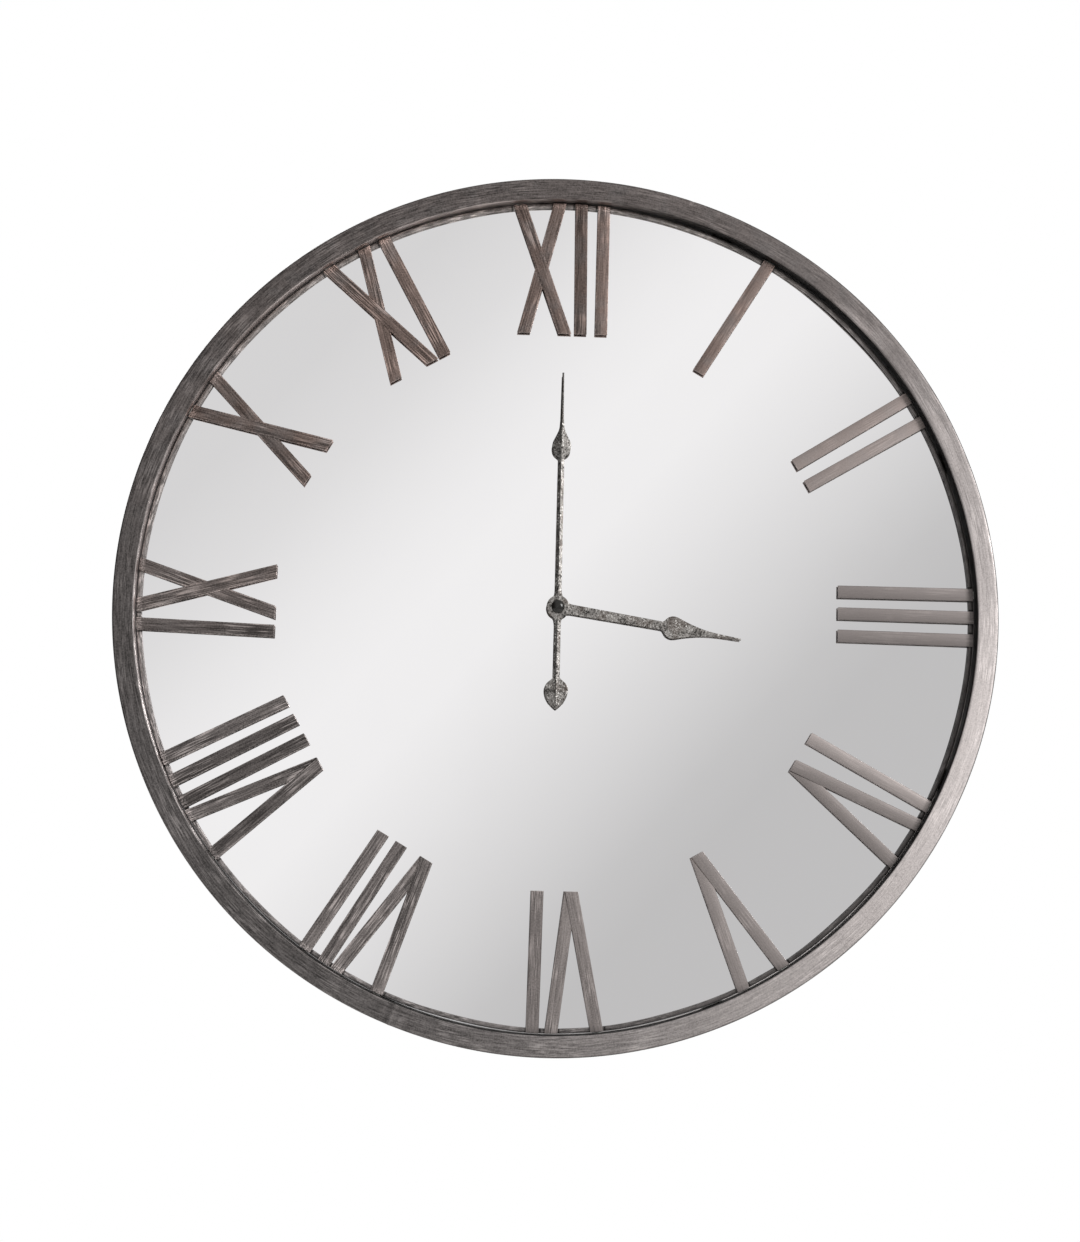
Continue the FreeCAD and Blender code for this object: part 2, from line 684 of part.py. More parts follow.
def clutch_washer():
    """The spring washer that presses the centre wheel against the cannon pinion."""
    front = CENTRE_LAYER + PINION_THICKNESS
    return tube(CLUTCH_SEAT_RADIUS + 1, CLUTCH_SEAT_RADIUS, front, front + PLATE_GAP / 2)


def centre_wheel():
    """The centre wheel, driven by the train and slipping on the minute arbor."""
    module = module_for(THIRD_REACH, CENTRE_TEETH, THIRD_PINION_TEETH)
    rim = wheel(CENTRE_TEETH, module, CENTRE_LAYER, CENTRE, 0.0)
    return rim.cut(disc(CLUTCH_SEAT_RADIUS + RUNNING_FIT, CENTRE_LAYER - 1, MIDDLE_FRONT))


def third_wheel():
    """The third wheel, with its pinion in front of the middle plate and its wheel behind it."""
    pinion_module = module_for(THIRD_REACH, CENTRE_TEETH, THIRD_PINION_TEETH)
    wheel_module = module_for(THIRD_REACH, THIRD_TEETH, SECONDS_PINION_TEETH)
    leaves_phase = meshed_phase(THIRD_BEARING, CENTRE_TEETH, 0.0, THIRD_PINION_TEETH)
    leaves = pinion(THIRD_PINION_TEETH, pinion_module, CENTRE_LAYER, THIRD_AXIS, leaves_phase)
    rim_phase = meshed_phase(THIRD_BEARING, SECONDS_PINION_TEETH, 0.0, THIRD_TEETH)
    rim = wheel(THIRD_TEETH, wheel_module, THIRD_LAYER, THIRD_AXIS, rim_phase)
    arbor = disc(PIVOT_RADIUS, CENTRE_LAYER - PLATE_GAP / 2, BRIDGE_BACK, THIRD_AXIS)
    return fused([leaves, rim, arbor])


def seconds_wheel():
    """The seconds wheel and pinion, whose arbor reaches into the minute arbor's bore."""
    pinion_module = module_for(THIRD_REACH, THIRD_TEETH, SECONDS_PINION_TEETH)
    wheel_module = module_for(INTERMEDIATE_REACH, SECONDS_TEETH, INTERMEDIATE_PINION_TEETH)
    leaves = pinion(SECONDS_PINION_TEETH, pinion_module, THIRD_LAYER, CENTRE, 0.0)
    rim = wheel(SECONDS_TEETH, wheel_module, SECONDS_LAYER, CENTRE, 0.0)
    arbor = disc(PIVOT_RADIUS, CANNON_LAYER, BRIDGE_BACK)
    return fused([leaves, rim, arbor])


def intermediate_wheel():
    """The intermediate wheel and pinion, between the rotor and the seconds wheel."""
    pinion_module = module_for(INTERMEDIATE_REACH, SECONDS_TEETH, INTERMEDIATE_PINION_TEETH)
    wheel_module = module_for(ROTOR_REACH, INTERMEDIATE_TEETH, ROTOR_PINION_TEETH)
    leaves_phase = meshed_phase(INTERMEDIATE_BEARING, SECONDS_TEETH, 0.0, INTERMEDIATE_PINION_TEETH)
    leaves = pinion(INTERMEDIATE_PINION_TEETH, pinion_module, SECONDS_LAYER, INTERMEDIATE_AXIS, leaves_phase)
    rim = wheel(INTERMEDIATE_TEETH, wheel_module, INTERMEDIATE_LAYER, INTERMEDIATE_AXIS, 0.0)
    arbor = disc(PIVOT_RADIUS, MIDDLE_FRONT, BRIDGE_BACK, INTERMEDIATE_AXIS)
    return fused([leaves, rim, arbor])


def rotor_pinion():
    """The stepping motor's pinion and arbor."""
    module = module_for(ROTOR_REACH, INTERMEDIATE_TEETH, ROTOR_PINION_TEETH)
    phase = meshed_phase(ROTOR_BEARING, INTERMEDIATE_TEETH, 0.0, ROTOR_PINION_TEETH)
    leaves = pinion(ROTOR_PINION_TEETH, module, INTERMEDIATE_LAYER, ROTOR_AXIS, phase)
    arbor = disc(PIVOT_RADIUS, MIDDLE_FRONT, BRIDGE_BACK, ROTOR_AXIS)
    return fused([leaves, arbor])


def rotor_magnet():
    """The round two-pole magnet on the rotor's arbor, inside the stator's hole."""
    front = MIDDLE_BACK + PLATE_GAP / 2
    return tube(ROTOR_MAGNET_RADIUS, PIVOT_RADIUS, front, front + 1.5 * STATOR_THICKNESS, ROTOR_AXIS)


def minute_work_wheel():
    """The minute-work wheel and pinion, which run on a stud of the front plate."""
    wheel_module = module_for(MINUTE_WORK_REACH, CANNON_TEETH, MINUTE_WORK_TEETH)
    pinion_module = module_for(MINUTE_WORK_REACH, HOUR_TEETH, MINUTE_WORK_PINION_TEETH)
    rim_phase = meshed_phase(MINUTE_WORK_BEARING, CANNON_TEETH, 0.0, MINUTE_WORK_TEETH)
    leaves_phase = meshed_phase(MINUTE_WORK_BEARING, HOUR_TEETH, 0.0, MINUTE_WORK_PINION_TEETH)
    rim = wheel(MINUTE_WORK_TEETH, wheel_module, CANNON_LAYER, MINUTE_WORK_AXIS, rim_phase)
    leaves = pinion(MINUTE_WORK_PINION_TEETH, pinion_module, HOUR_LAYER, MINUTE_WORK_AXIS, leaves_phase)
    hub = disc(2 * PIVOT_RADIUS + 0.3, HOUR_LAYER, CANNON_LAYER + PINION_THICKNESS / 2, MINUTE_WORK_AXIS)
    bore = disc(PIVOT_RADIUS + RUNNING_FIT, CHAMBER_FRONT, MIDDLE_FRONT, MINUTE_WORK_AXIS)
    return fused([rim, leaves, hub]).cut(bore)


def hour_wheel():
    """The hour wheel and the tube that carries the hour hand."""
    module = module_for(MINUTE_WORK_REACH, HOUR_TEETH, MINUTE_WORK_PINION_TEETH)
    rim = wheel(HOUR_TEETH, module, HOUR_LAYER, CENTRE, 0.0)
    sleeve = disc(HOUR_TUBE_RADIUS, HOUR_HAND_FRONT, HOUR_LAYER + PINION_THICKNESS)
    bore = disc(MINUTE_ARBOR_RADIUS + RUNNING_FIT, HOUR_HAND_FRONT - 1, CANNON_LAYER)
    return fused([rim, sleeve]).cut(bore)


def setting_knob():
    """The fluted knob at the back, with the long arbor and pinion that turn the motion work."""
    module = module_for(MINUTE_WORK_REACH, SETTING_TEETH, MINUTE_WORK_TEETH)
    work_phase = meshed_phase(MINUTE_WORK_BEARING, CANNON_TEETH, 0.0, MINUTE_WORK_TEETH)
    phase = meshed_phase(SETTING_BEARING, MINUTE_WORK_TEETH, work_phase, SETTING_TEETH)
    leaves = pinion(SETTING_TEETH, module, CANNON_LAYER, SETTING_AXIS, phase)
    arbor = disc(KNOB_ARBOR_RADIUS, CHAMBER_FRONT + RUNNING_FIT, CASE_BACK + WHEEL_GAP + 1, SETTING_AXIS)
    head_front = CASE_BACK + WHEEL_GAP
    head = disc(KNOB_RADIUS, head_front, head_front + KNOB_HEIGHT, SETTING_AXIS)
    for i in range(KNOB_FLUTES):
        at = beyond(SETTING_AXIS, KNOB_RADIUS + 0.3, 360 / KNOB_FLUTES * i)
        head = head.cut(disc(0.6, head_front - 1, head_front + KNOB_HEIGHT + 1, at))
    return fused([leaves, arbor, head])


# ---------------------------------------------------------------- movement's case and plates
def pillar_places():
    """The four pillars that carry the movement's plates."""
    side = CASE_INNER_HALF - 2 * PILLAR_RADIUS
    low = CHAMBER_FLOOR + PILLAR_RADIUS + PLATE_GAP
    high = COIL_HEIGHT - COIL_RADIUS - 2.5 * PILLAR_RADIUS
    return [(-side, low), (side, low), (-side, high), (side, high)]


def plate_corners():
    """The corners of both plates, which reach just past the pillars."""
    side = CASE_INNER_HALF - PILLAR_RADIUS
    low = CHAMBER_FLOOR + PLATE_GAP
    high = COIL_HEIGHT - COIL_RADIUS - PILLAR_RADIUS
    return (-side, low), (side, high)


def movement_case():
    """The moulded case: front plate, walls, the battery tray, pillars and the minute-work stud."""
    half = CASE_HALF
    inner = CASE_INNER_HALF
    body = block((-half, -half), (half, half), CASE_FRONT, CASE_BACK)
    bay = block((-inner, -inner), (inner, BAY_TOP), CHAMBER_FRONT, CASE_BACK + 1)
    chamber = block((-inner, CHAMBER_FLOOR), (inner, inner), CHAMBER_FRONT, CASE_BACK + 1)
    shell = body.cut(bay).cut(chamber)
    shell = shell.cut(disc(POST_RADIUS, CASE_FRONT - 1, CHAMBER_FRONT + 1))
    shell = shell.cut(disc(POST_FLANGE_RADIUS, CHAMBER_FRONT - POST_FLANGE, CHAMBER_FRONT + 1))
    stud = disc(PIVOT_RADIUS, CHAMBER_FRONT - CASE_WALL / 2, CANNON_LAYER + PINION_THICKNESS, MINUTE_WORK_AXIS)
    pillars = [disc(PILLAR_RADIUS, CHAMBER_FRONT - CASE_WALL / 2, MIDDLE_FRONT, at) for at in pillar_places()]
    return fused([shell, stud] + pillars)


def movement_lid():
    """The lid over the gear chamber, with a boss that presses each corner of the bridge."""
    clearance = RUNNING_FIT
    low = (-CASE_INNER_HALF + clearance, CHAMBER_FLOOR + clearance)
    high = (CASE_INNER_HALF - clearance, CASE_INNER_HALF - clearance)
    lid = block(low, high, LID_FRONT, CASE_BACK)
    bosses = [disc(PILLAR_RADIUS, BRIDGE_BACK, LID_FRONT + CASE_WALL / 2, at) for at in pillar_places()]
    knob_hole = disc(KNOB_ARBOR_RADIUS + RUNNING_FIT, LID_FRONT - 1, CASE_BACK + 1, SETTING_AXIS)
    return fused([lid] + bosses).cut(knob_hole)


def pivot_holes(front, back, axes):
    """Bearing holes for arbors, through a plate."""
    return [disc(PIVOT_RADIUS + RUNNING_FIT, front - 1, back + 1, axis) for axis in axes]


def middle_plate():
    """The middle plate and its pillars, between the motion work and the train."""
    low, high = plate_corners()
    sheet = block(low, high, MIDDLE_FRONT, MIDDLE_BACK)
    pillars = [disc(PILLAR_RADIUS, MIDDLE_BACK - PLATE_THICKNESS / 2, BRIDGE_FRONT, at) for at in pillar_places()]
    axes = [CENTRE, THIRD_AXIS, INTERMEDIATE_AXIS, ROTOR_AXIS]
    holes = pivot_holes(MIDDLE_FRONT, MIDDLE_BACK, axes)
    knob_hole = disc(KNOB_ARBOR_RADIUS + RUNNING_FIT, MIDDLE_FRONT - 1, MIDDLE_BACK + 1, SETTING_AXIS)
    return fused([sheet] + pillars).cut(group(holes + [knob_hole]))


def train_bridge():
    """The rear plate that carries the back ends of the train's arbors."""
    low, high = plate_corners()
    sheet = block(low, high, BRIDGE_FRONT, BRIDGE_BACK)
    axes = [CENTRE, THIRD_AXIS, INTERMEDIATE_AXIS, ROTOR_AXIS]
    holes = pivot_holes(BRIDGE_FRONT, BRIDGE_BACK, axes)
    knob_hole = disc(KNOB_ARBOR_RADIUS + RUNNING_FIT, BRIDGE_FRONT - 1, BRIDGE_BACK + 1, SETTING_AXIS)
    return sheet.cut(group(holes + [knob_hole]))


# ---------------------------------------------------------------- stepping motor and electrics
def coil_ends():
    """The left and right ends of the coil's core, above the rotor."""
    left = ROTOR_AXIS[0] - COIL_LENGTH / 2 - 2 * COIL_RADIUS / 3
    right = ROTOR_AXIS[0] + COIL_LENGTH / 2 + 2 * COIL_RADIUS / 3
    return left, right


def stator():
    """The soft-iron plate with the rotor's hole and two legs up to the coil's core."""
    left, right = coil_ends()
    hole_radius = ROTOR_MAGNET_RADIUS + STATOR_AIR_GAP
    reach = hole_radius + 1.0
    front = MIDDLE_BACK
    back = front + STATOR_THICKNESS
    low = ROTOR_AXIS[1] - reach
    head = block((ROTOR_AXIS[0] - reach, low), (ROTOR_AXIS[0] + reach, ROTOR_AXIS[1] + reach), front, back)
    top = COIL_HEIGHT + COIL_RADIUS / 2
    left_leg = block((left - 1, ROTOR_AXIS[1]), (ROTOR_AXIS[0] - reach + 1, ROTOR_AXIS[1] + reach), front, back)
    left_post = block((left - 1, ROTOR_AXIS[1]), (left + 1, top), front, back)
    right_leg = block((ROTOR_AXIS[0] + reach - 1, ROTOR_AXIS[1] + 1), (right + 1, ROTOR_AXIS[1] + reach), front, back)
    right_post = block((right - 1, ROTOR_AXIS[1] + 1), (right + 1, top), front, back)
    whole = fused([head, left_leg, left_post, right_leg, right_post])
    return whole.cut(disc(hole_radius, front - 1, back + 1, ROTOR_AXIS))


def coil_core():
    """The flat iron bar through the coil, lying on the stator's legs."""
    left, right = coil_ends()
    front = MIDDLE_BACK + STATOR_THICKNESS
    low = (left - 1, COIL_HEIGHT - COIL_RADIUS / 2)
    return block(low, (right + 1, COIL_HEIGHT + COIL_RADIUS / 2), front, front + STATOR_THICKNESS)


def coil_middle():
    """The depth of the coil's axis: the middle of its core."""
    return MIDDLE_BACK + 1.5 * STATOR_THICKNESS


def coil():
    """The copper winding round the core."""
    start = Vector(ROTOR_AXIS[0] - COIL_LENGTH / 2, COIL_HEIGHT, level(coil_middle()))
    winding = Part.makeCylinder(COIL_RADIUS, COIL_LENGTH, start, Vector(1, 0, 0))
    return winding.cut(coil_core())


def circuit_board():
    """The small circuit board above the train, behind the coil."""
    low = (-CASE_INNER_HALF + 2 * PLATE_GAP, COIL_HEIGHT - COIL_RADIUS - PILLAR_RADIUS / 2)
    high = (CASE_INNER_HALF - 2 * PLATE_GAP, CASE_INNER_HALF - PLATE_GAP)
    return block(low, high, BOARD_FRONT, BOARD_BACK)


def quartz_crystal():
    """The crystal's round can, lying on the front of the board."""
    radius = 1.0
    start = Vector(8.0, COIL_HEIGHT, level(BOARD_FRONT - radius))
    return Part.makeCylinder(radius, 6.0, start, Vector(1, 0, 0))


def chip_blob():
    """The round drop of resin over the chip."""
    return disc(2.5, BOARD_FRONT - 0.9, BOARD_FRONT, (3.5, COIL_HEIGHT))


def battery_height():
    """The height of the battery's axis, below the hands' axis."""
    return -CASE_INNER_HALF + BATTERY_RADIUS + BATTERY_CLEARANCE


def battery_depth():
    """The depth of the battery's axis, flush with the back of the case."""
    return CASE_BACK - BATTERY_RADIUS


def battery_start():
    """Where the battery's flat end stands, to the right of the hands' axis."""
    return BATTERY_LENGTH / 2


def battery_cell():
    """The AA cell, with its nub to the left."""
    axis = Vector(-1, 0, 0)
    start = Vector(battery_start(), battery_height(), level(battery_depth()))
    body = Part.makeCylinder(BATTERY_RADIUS, BATTERY_LENGTH - BATTERY_NUB, start, axis)
    nub = Part.makeCylinder(BATTERY_NUB_RADIUS, BATTERY_LENGTH, start, axis)
    return fused([body, nub])


def battery_contact(side):
    """A contact strip on the bay's end wall, with a pressed dimple towards the cell."""
    wall = side * CASE_INNER_HALF
    inside = wall - side * CONTACT_THICKNESS
    low = battery_height() - BATTERY_RADIUS / 2
    high = battery_height() + BATTERY_RADIUS / 2
    sheet = block((min(wall, inside), low), (max(wall, inside), high), battery_depth() - BATTERY_RADIUS / 2,
                  battery_depth() + BATTERY_RADIUS / 2)
    cell_end = battery_start() if side > 0 else battery_start() - BATTERY_LENGTH
    reach = abs(inside - cell_end) - BATTERY_CLEARANCE
    start = Vector(inside, battery_height(), level(battery_depth()))
    dimple = Part.makeCone(BATTERY_NUB_RADIUS, BATTERY_NUB_RADIUS / 2, reach, start, Vector(-side, 0, 0))
    return fused([sheet, dimple])


# ---------------------------------------------------------------- writing the pieces
def pieces():
    """Every piece of the clock, by name."""
    made = {
        "rim_tube": rim_tube(),
        "numeral_ring": numeral_ring(),
        "ring_tabs": ring_tabs(),
        "glazing_pads": glazing_pads(),
        "mirror_glass": mirror_glass(),
        "backing_board": backing_board(),
        "backing_clips": backing_clips(),
        "clip_screws": clip_screws(),
        "hanger_plate": hanger_plate(),
        "hanger_rivets": hanger_rivets(),
        "wall_bumpers": wall_bumpers(),
        "minute_hand": minute_hand(),
        "hour_hand": hour_hand(),
        "cap_nut": cap_nut(),
        "centre_post": centre_post(),
        "dial_washer": dial_washer(),
        "dial_nut": dial_nut(),
        "gasket": gasket(),
        "minute_arbor": minute_arbor(),
        "clutch_washer": clutch_washer(),
        "centre_wheel": centre_wheel(),
        "third_wheel": third_wheel(),
        "seconds_wheel": seconds_wheel(),
        "intermediate_wheel": intermediate_wheel(),
        "rotor_pinion": rotor_pinion(),
        "rotor_magnet": rotor_magnet(),
        "minute_work_wheel": minute_work_wheel(),
        "hour_wheel": hour_wheel(),
        "setting_knob": setting_knob(),
        "movement_case": movement_case(),
        "movement_lid": movement_lid(),
        "middle_plate": middle_plate(),
        "train_bridge": train_bridge(),
        "stator": stator(),
        "coil_core": coil_core(),
        "coil": coil(),
        "circuit_board": circuit_board(),
        "quartz_crystal": quartz_crystal(),
        "chip_blob": chip_blob(),
        "battery_cell": battery_cell(),
        "battery_contact_plus": battery_contact(-1),
        "battery_contact_minus": battery_contact(1),
    }
    for hour in LETTERS:
        made["numeral_{:02d}".format(hour)] = numeral(hour)
    return made


os.makedirs("parts", exist_ok=True)
for node, solid in pieces().items():
    write(node, solid)
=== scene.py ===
"""The looks of a round mirrored wall clock with a rolled steel rim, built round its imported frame.

The clock stands upright with its face towards -Y, +Z at twelve o'clock and the hands' axis through the
origin. Angles on the dial are in degrees clockwise from twelve o'clock, as seen from the front. All
sizes are in metres.
"""
from __future__ import annotations

import logging
import math
from dataclasses import dataclass, field
from enum import Enum
from functools import reduce

import bmesh
import bpy
import numpy as np
from mathutils import Matrix, Vector


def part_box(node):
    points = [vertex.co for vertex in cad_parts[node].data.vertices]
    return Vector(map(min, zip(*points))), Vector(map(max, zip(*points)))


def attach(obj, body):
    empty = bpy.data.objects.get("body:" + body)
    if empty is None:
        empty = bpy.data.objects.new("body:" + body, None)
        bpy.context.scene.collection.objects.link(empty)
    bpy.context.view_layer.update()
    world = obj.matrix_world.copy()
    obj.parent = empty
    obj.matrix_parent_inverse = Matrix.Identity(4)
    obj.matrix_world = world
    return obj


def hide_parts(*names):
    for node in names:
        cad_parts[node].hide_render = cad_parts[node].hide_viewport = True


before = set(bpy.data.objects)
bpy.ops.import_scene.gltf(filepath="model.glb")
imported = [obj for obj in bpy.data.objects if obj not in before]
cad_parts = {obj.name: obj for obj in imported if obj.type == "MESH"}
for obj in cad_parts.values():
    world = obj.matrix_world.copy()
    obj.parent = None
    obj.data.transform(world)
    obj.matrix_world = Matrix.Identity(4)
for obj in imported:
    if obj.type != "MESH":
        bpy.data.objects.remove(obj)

LOG = logging.getLogger("wall_clock")
MM = 0.001
MERGE_DISTANCE = 2e-6
CREASE = math.radians(21)

Colour = tuple[float, float, float]
Socket = bpy.types.NodeSocket


# ---------------------------------------------------------------- meshes
def add_object(name: str, data: bpy.types.ID) -> bpy.types.Object:
    """A new object at the origin, linked to the scene."""
    thing = bpy.data.objects.new(name, data)
    bpy.context.scene.collection.objects.link(thing)
    return thing


def join_shells(name: str, shells: list["Shell"]) -> bpy.types.Object:
    """One object made of several closed shells, with doubled points merged and faces turned outwards.

    Args:
        name: The object's name.
        shells: The surfaces to join.

    Returns:
        The new object, at the origin.
    """
    mesh = bpy.data.meshes.new(name)
    points = np.concatenate([shell.points.reshape(-1, 3) for shell in shells])
    starts = np.cumsum([0] + [shell.points.shape[0] * shell.points.shape[1] for shell in shells])
    faces = np.concatenate([shell.faces() + start for shell, start in zip(shells, starts)])
    mesh.from_pydata(points, [], faces.tolist())
    loops = np.concatenate([shell.loop_uv() for shell in shells])
    layer = mesh.uv_layers.new(name="surface")
    layer.data.foreach_set("uv", loops.astype(np.float32).ravel())
    tint = mesh.attributes.new("tone", "FLOAT", "POINT")
    tone = np.concatenate([np.broadcast_to(shell.tone, shell.points.shape[:2]).ravel()
                           for shell in shells])
    tint.data.foreach_set("value", tone.astype(np.float32))
    work = bmesh.new()
    work.from_mesh(mesh)
    bmesh.ops.remove_doubles(work, verts=work.verts, dist=MERGE_DISTANCE)
    bmesh.ops.recalc_face_normals(work, faces=work.faces)
    work.to_mesh(mesh)
    work.free()
    mesh.shade_smooth()
    mesh.set_sharp_from_angle(angle=CREASE)
    return add_object(name, mesh)


@dataclass
class Shell:
    """A closed surface on a grid of rows and columns, whose last column joins the first.

    Attributes:
        points: The grid's points, rows by columns by three.
        round_rows: Whether the last row joins the first.
        across: The first texture coordinate of each column.
        along: The second texture coordinate of each row.
        tone: How much brighter than its finish the metal is, for the whole surface or each point: wear, and
            on some pieces painted shade and shadow.
    """

    points: np.ndarray
    round_rows: bool = False
    across: np.ndarray | None = None
    along: np.ndarray | None = None
    tone: np.ndarray | float = 1.0

    def corners(self) -> list[tuple[np.ndarray, np.ndarray]]:
        """The row and column of each face's four corners."""
        rows, columns = self.points.shape[:2]
        i, j = np.indices((rows if self.round_rows else rows - 1, columns)).reshape(2, -1)
        below, beside = (i + 1) % rows, (j + 1) % columns
        return [(i, j), (i, beside), (below, beside), (below, j)]

    def faces(self) -> np.ndarray:
        """The corner numbers of each four-sided face."""
        return np.stack([row * self.points.shape[1] + column for row, column in self.corners()], axis=-1)

    def loop_uv(self) -> np.ndarray:
        """Texture coordinates for each face corner."""
        rows, columns = self.points.shape[:2]
        across = np.arange(columns) * MM if self.across is None else self.across
        along = np.arange(rows) * MM if self.along is None else self.along
        pairs = [np.stack([across[column], along[row]], axis=-1) for row, column in self.corners()]
        return np.stack(pairs, axis=1).reshape(-1, 2)


def rounded_section(width: float, depth: float, radius: float, steps: int = 4) -> np.ndarray:
    """The outline of a bar: a rectangle whose corners are quarter circles.

    Args:
        width: Its size across.
        depth: Its size from front to back.
        radius: The radius of its corners.
        steps: How many points each corner has, less one.

    Returns:
        Points (across, depth) round the outline, centred across and with the front at 0.
    """
    turn = np.linspace(0, math.pi / 2, steps + 1)
    centres = [(width / 2 - radius, radius), (width / 2 - radius, depth - radius),
               (radius - width / 2, depth - radius), (radius - width / 2, radius)]
    corners = []
    for k, (x, y) in enumerate(centres):
        angle = turn + k * math.pi / 2
        corners.append(np.stack([x + radius * np.sin(angle), y - radius * np.cos(angle)], axis=-1))
    return np.concatenate(corners)


def on_dial(sideways: np.ndarray, outwards: np.ndarray,
            clock_angle: float) -> tuple[np.ndarray, np.ndarray]:
    """Turns a place by the twelve o'clock line into one by another hour's line.

    Args:
        sideways: Distance clockwise of the hour line.
        outwards: Distance along the hour line from the axis.
        clock_angle: The hour line's angle.

    Returns:
        The X and Z of the place.
    """
    turn = math.radians(clock_angle)
    return (outwards * math.sin(turn) + sideways * math.cos(turn),
            outwards * math.cos(turn) - sideways * math.sin(turn))


def smooth_noise(angle: np.ndarray, seed: int, waves: int, amount: float) -> np.ndarray:
    """A gentle closed ripple: a sum of sines with set phases, each weaker as it gets finer.

    Args:
        angle: Angles in radians.
        seed: Chooses the phases.
        waves: The finest number of waves in a turn.
        amount: The ripple's rough size.

    Returns:
        The ripple at each angle.
    """
    phases = np.random.default_rng(seed).uniform(0, 2 * math.pi, waves)
    order = np.arange(1, waves + 1)
    terms = np.sin(order * angle[..., None] + phases) / np.sqrt(order)
    return amount * terms.sum(axis=-1) / math.sqrt(2)


def bell(distance: np.ndarray, width: float) -> np.ndarray:
    """A Gaussian: 1 at no distance, and 1/e at a width from there."""
    return np.exp(-(distance / width) ** 2)


def hoop(radius: np.ndarray, depth: np.ndarray, turn: np.ndarray, tone: np.ndarray) -> Shell:
    """A closed section carried round the hands' axis.

    Args:
        radius: How far each point stands from the axis, angles by points.
        depth: The Y of each point.
        turn: The angles in radians.
        tone: How bright the metal is at each point.

    Returns:
        The shell.
    """
    x, z = radius * np.sin(turn)[:, None], radius * np.cos(turn)[:, None]
    points = np.stack([x, np.broadcast_to(depth, x.shape), z], axis=-1)
    return Shell(points, round_rows=True, tone=tone)


# ---------------------------------------------------------------- shader building
class Grain(Enum):
    """Which way the marks of a finish run."""

    CLOUD = "clouds with no direction"
    HOOP = "round the hands' axis"
    STRIP = "along the piece's own length"


class Tree:
    """A node tree, with a short method for each kind of node that the finishes and the room share.

    A value given to these methods is a constant or the socket that carries it.
    """

    def __init__(self, tree: bpy.types.NodeTree) -> None:
        """Empties the tree."""
        self.nodes, self.links = tree.nodes, tree.links
        self.nodes.clear()

    def feed(self, socket: Socket, value: object) -> None:
        """Links a socket to another, or sets it to a constant.

        Args:
            socket: The input.
            value: What it gets. A colour may leave its alpha out.
        """
        if isinstance(value, bpy.types.NodeSocket):
            self.links.new(value, socket)
        elif isinstance(value, tuple) and len(value) == 3 and socket.type == "RGBA":
            socket.default_value = (*value, 1.0)
        else:
            socket.default_value = value

    def make(self, kind: str, *values: object, **settings: object) -> bpy.types.Node:
        """A new node.

        Args:
            kind: Its type, without the ShaderNode in front.
            values: What its first inputs get, in order.
            settings: The properties to set before that.

        Returns:
            The node.
        """
        node = self.nodes.new(f"ShaderNode{kind}")
        for name, setting in settings.items():
            setattr(node, name, setting)
        for socket, value in zip(node.inputs, values):
            self.feed(socket, value)
        return node

    def math(self, operation: str, first: object, second: object = 0.0) -> Socket:
        """A Math node's result."""
        return self.make("Math", first, second, operation=operation).outputs[0]

    def total(self, first: object, *others: object) -> Socket:
        """Several numbers added together."""
        return reduce(lambda result, term: self.math("ADD", result, term), others, first)

    def less(self, first: object, second: object) -> Socket:
        """The first number less the second."""
        return self.math("SUBTRACT", first, second)

    def product(self, first: object, *others: object) -> Socket:
        """Several numbers multiplied together."""
        return reduce(lambda result, factor: self.math("MULTIPLY", result, factor), others, first)

    def spread(self, value: object, low: float, high: float, to_low: float = 0.0,
               to_high: float = 1.0) -> Socket:
        """A value carried smoothly from one range to another, and held at its ends.

        Args:
            value: The value.
            low: Where the range starts.
            high: Where it ends.
            to_low: The result at its start.
            to_high: The result at its end.

        Returns:
            The result.
        """
        node = self.make("MapRange", value, low, high, to_low, to_high, interpolation_type="SMOOTHSTEP")
        return node.outputs[0]

    def parts(self, vector: Socket) -> list[Socket]:
        """The three numbers of a vector."""
        return list(self.make("SeparateXYZ", vector).outputs[:3])


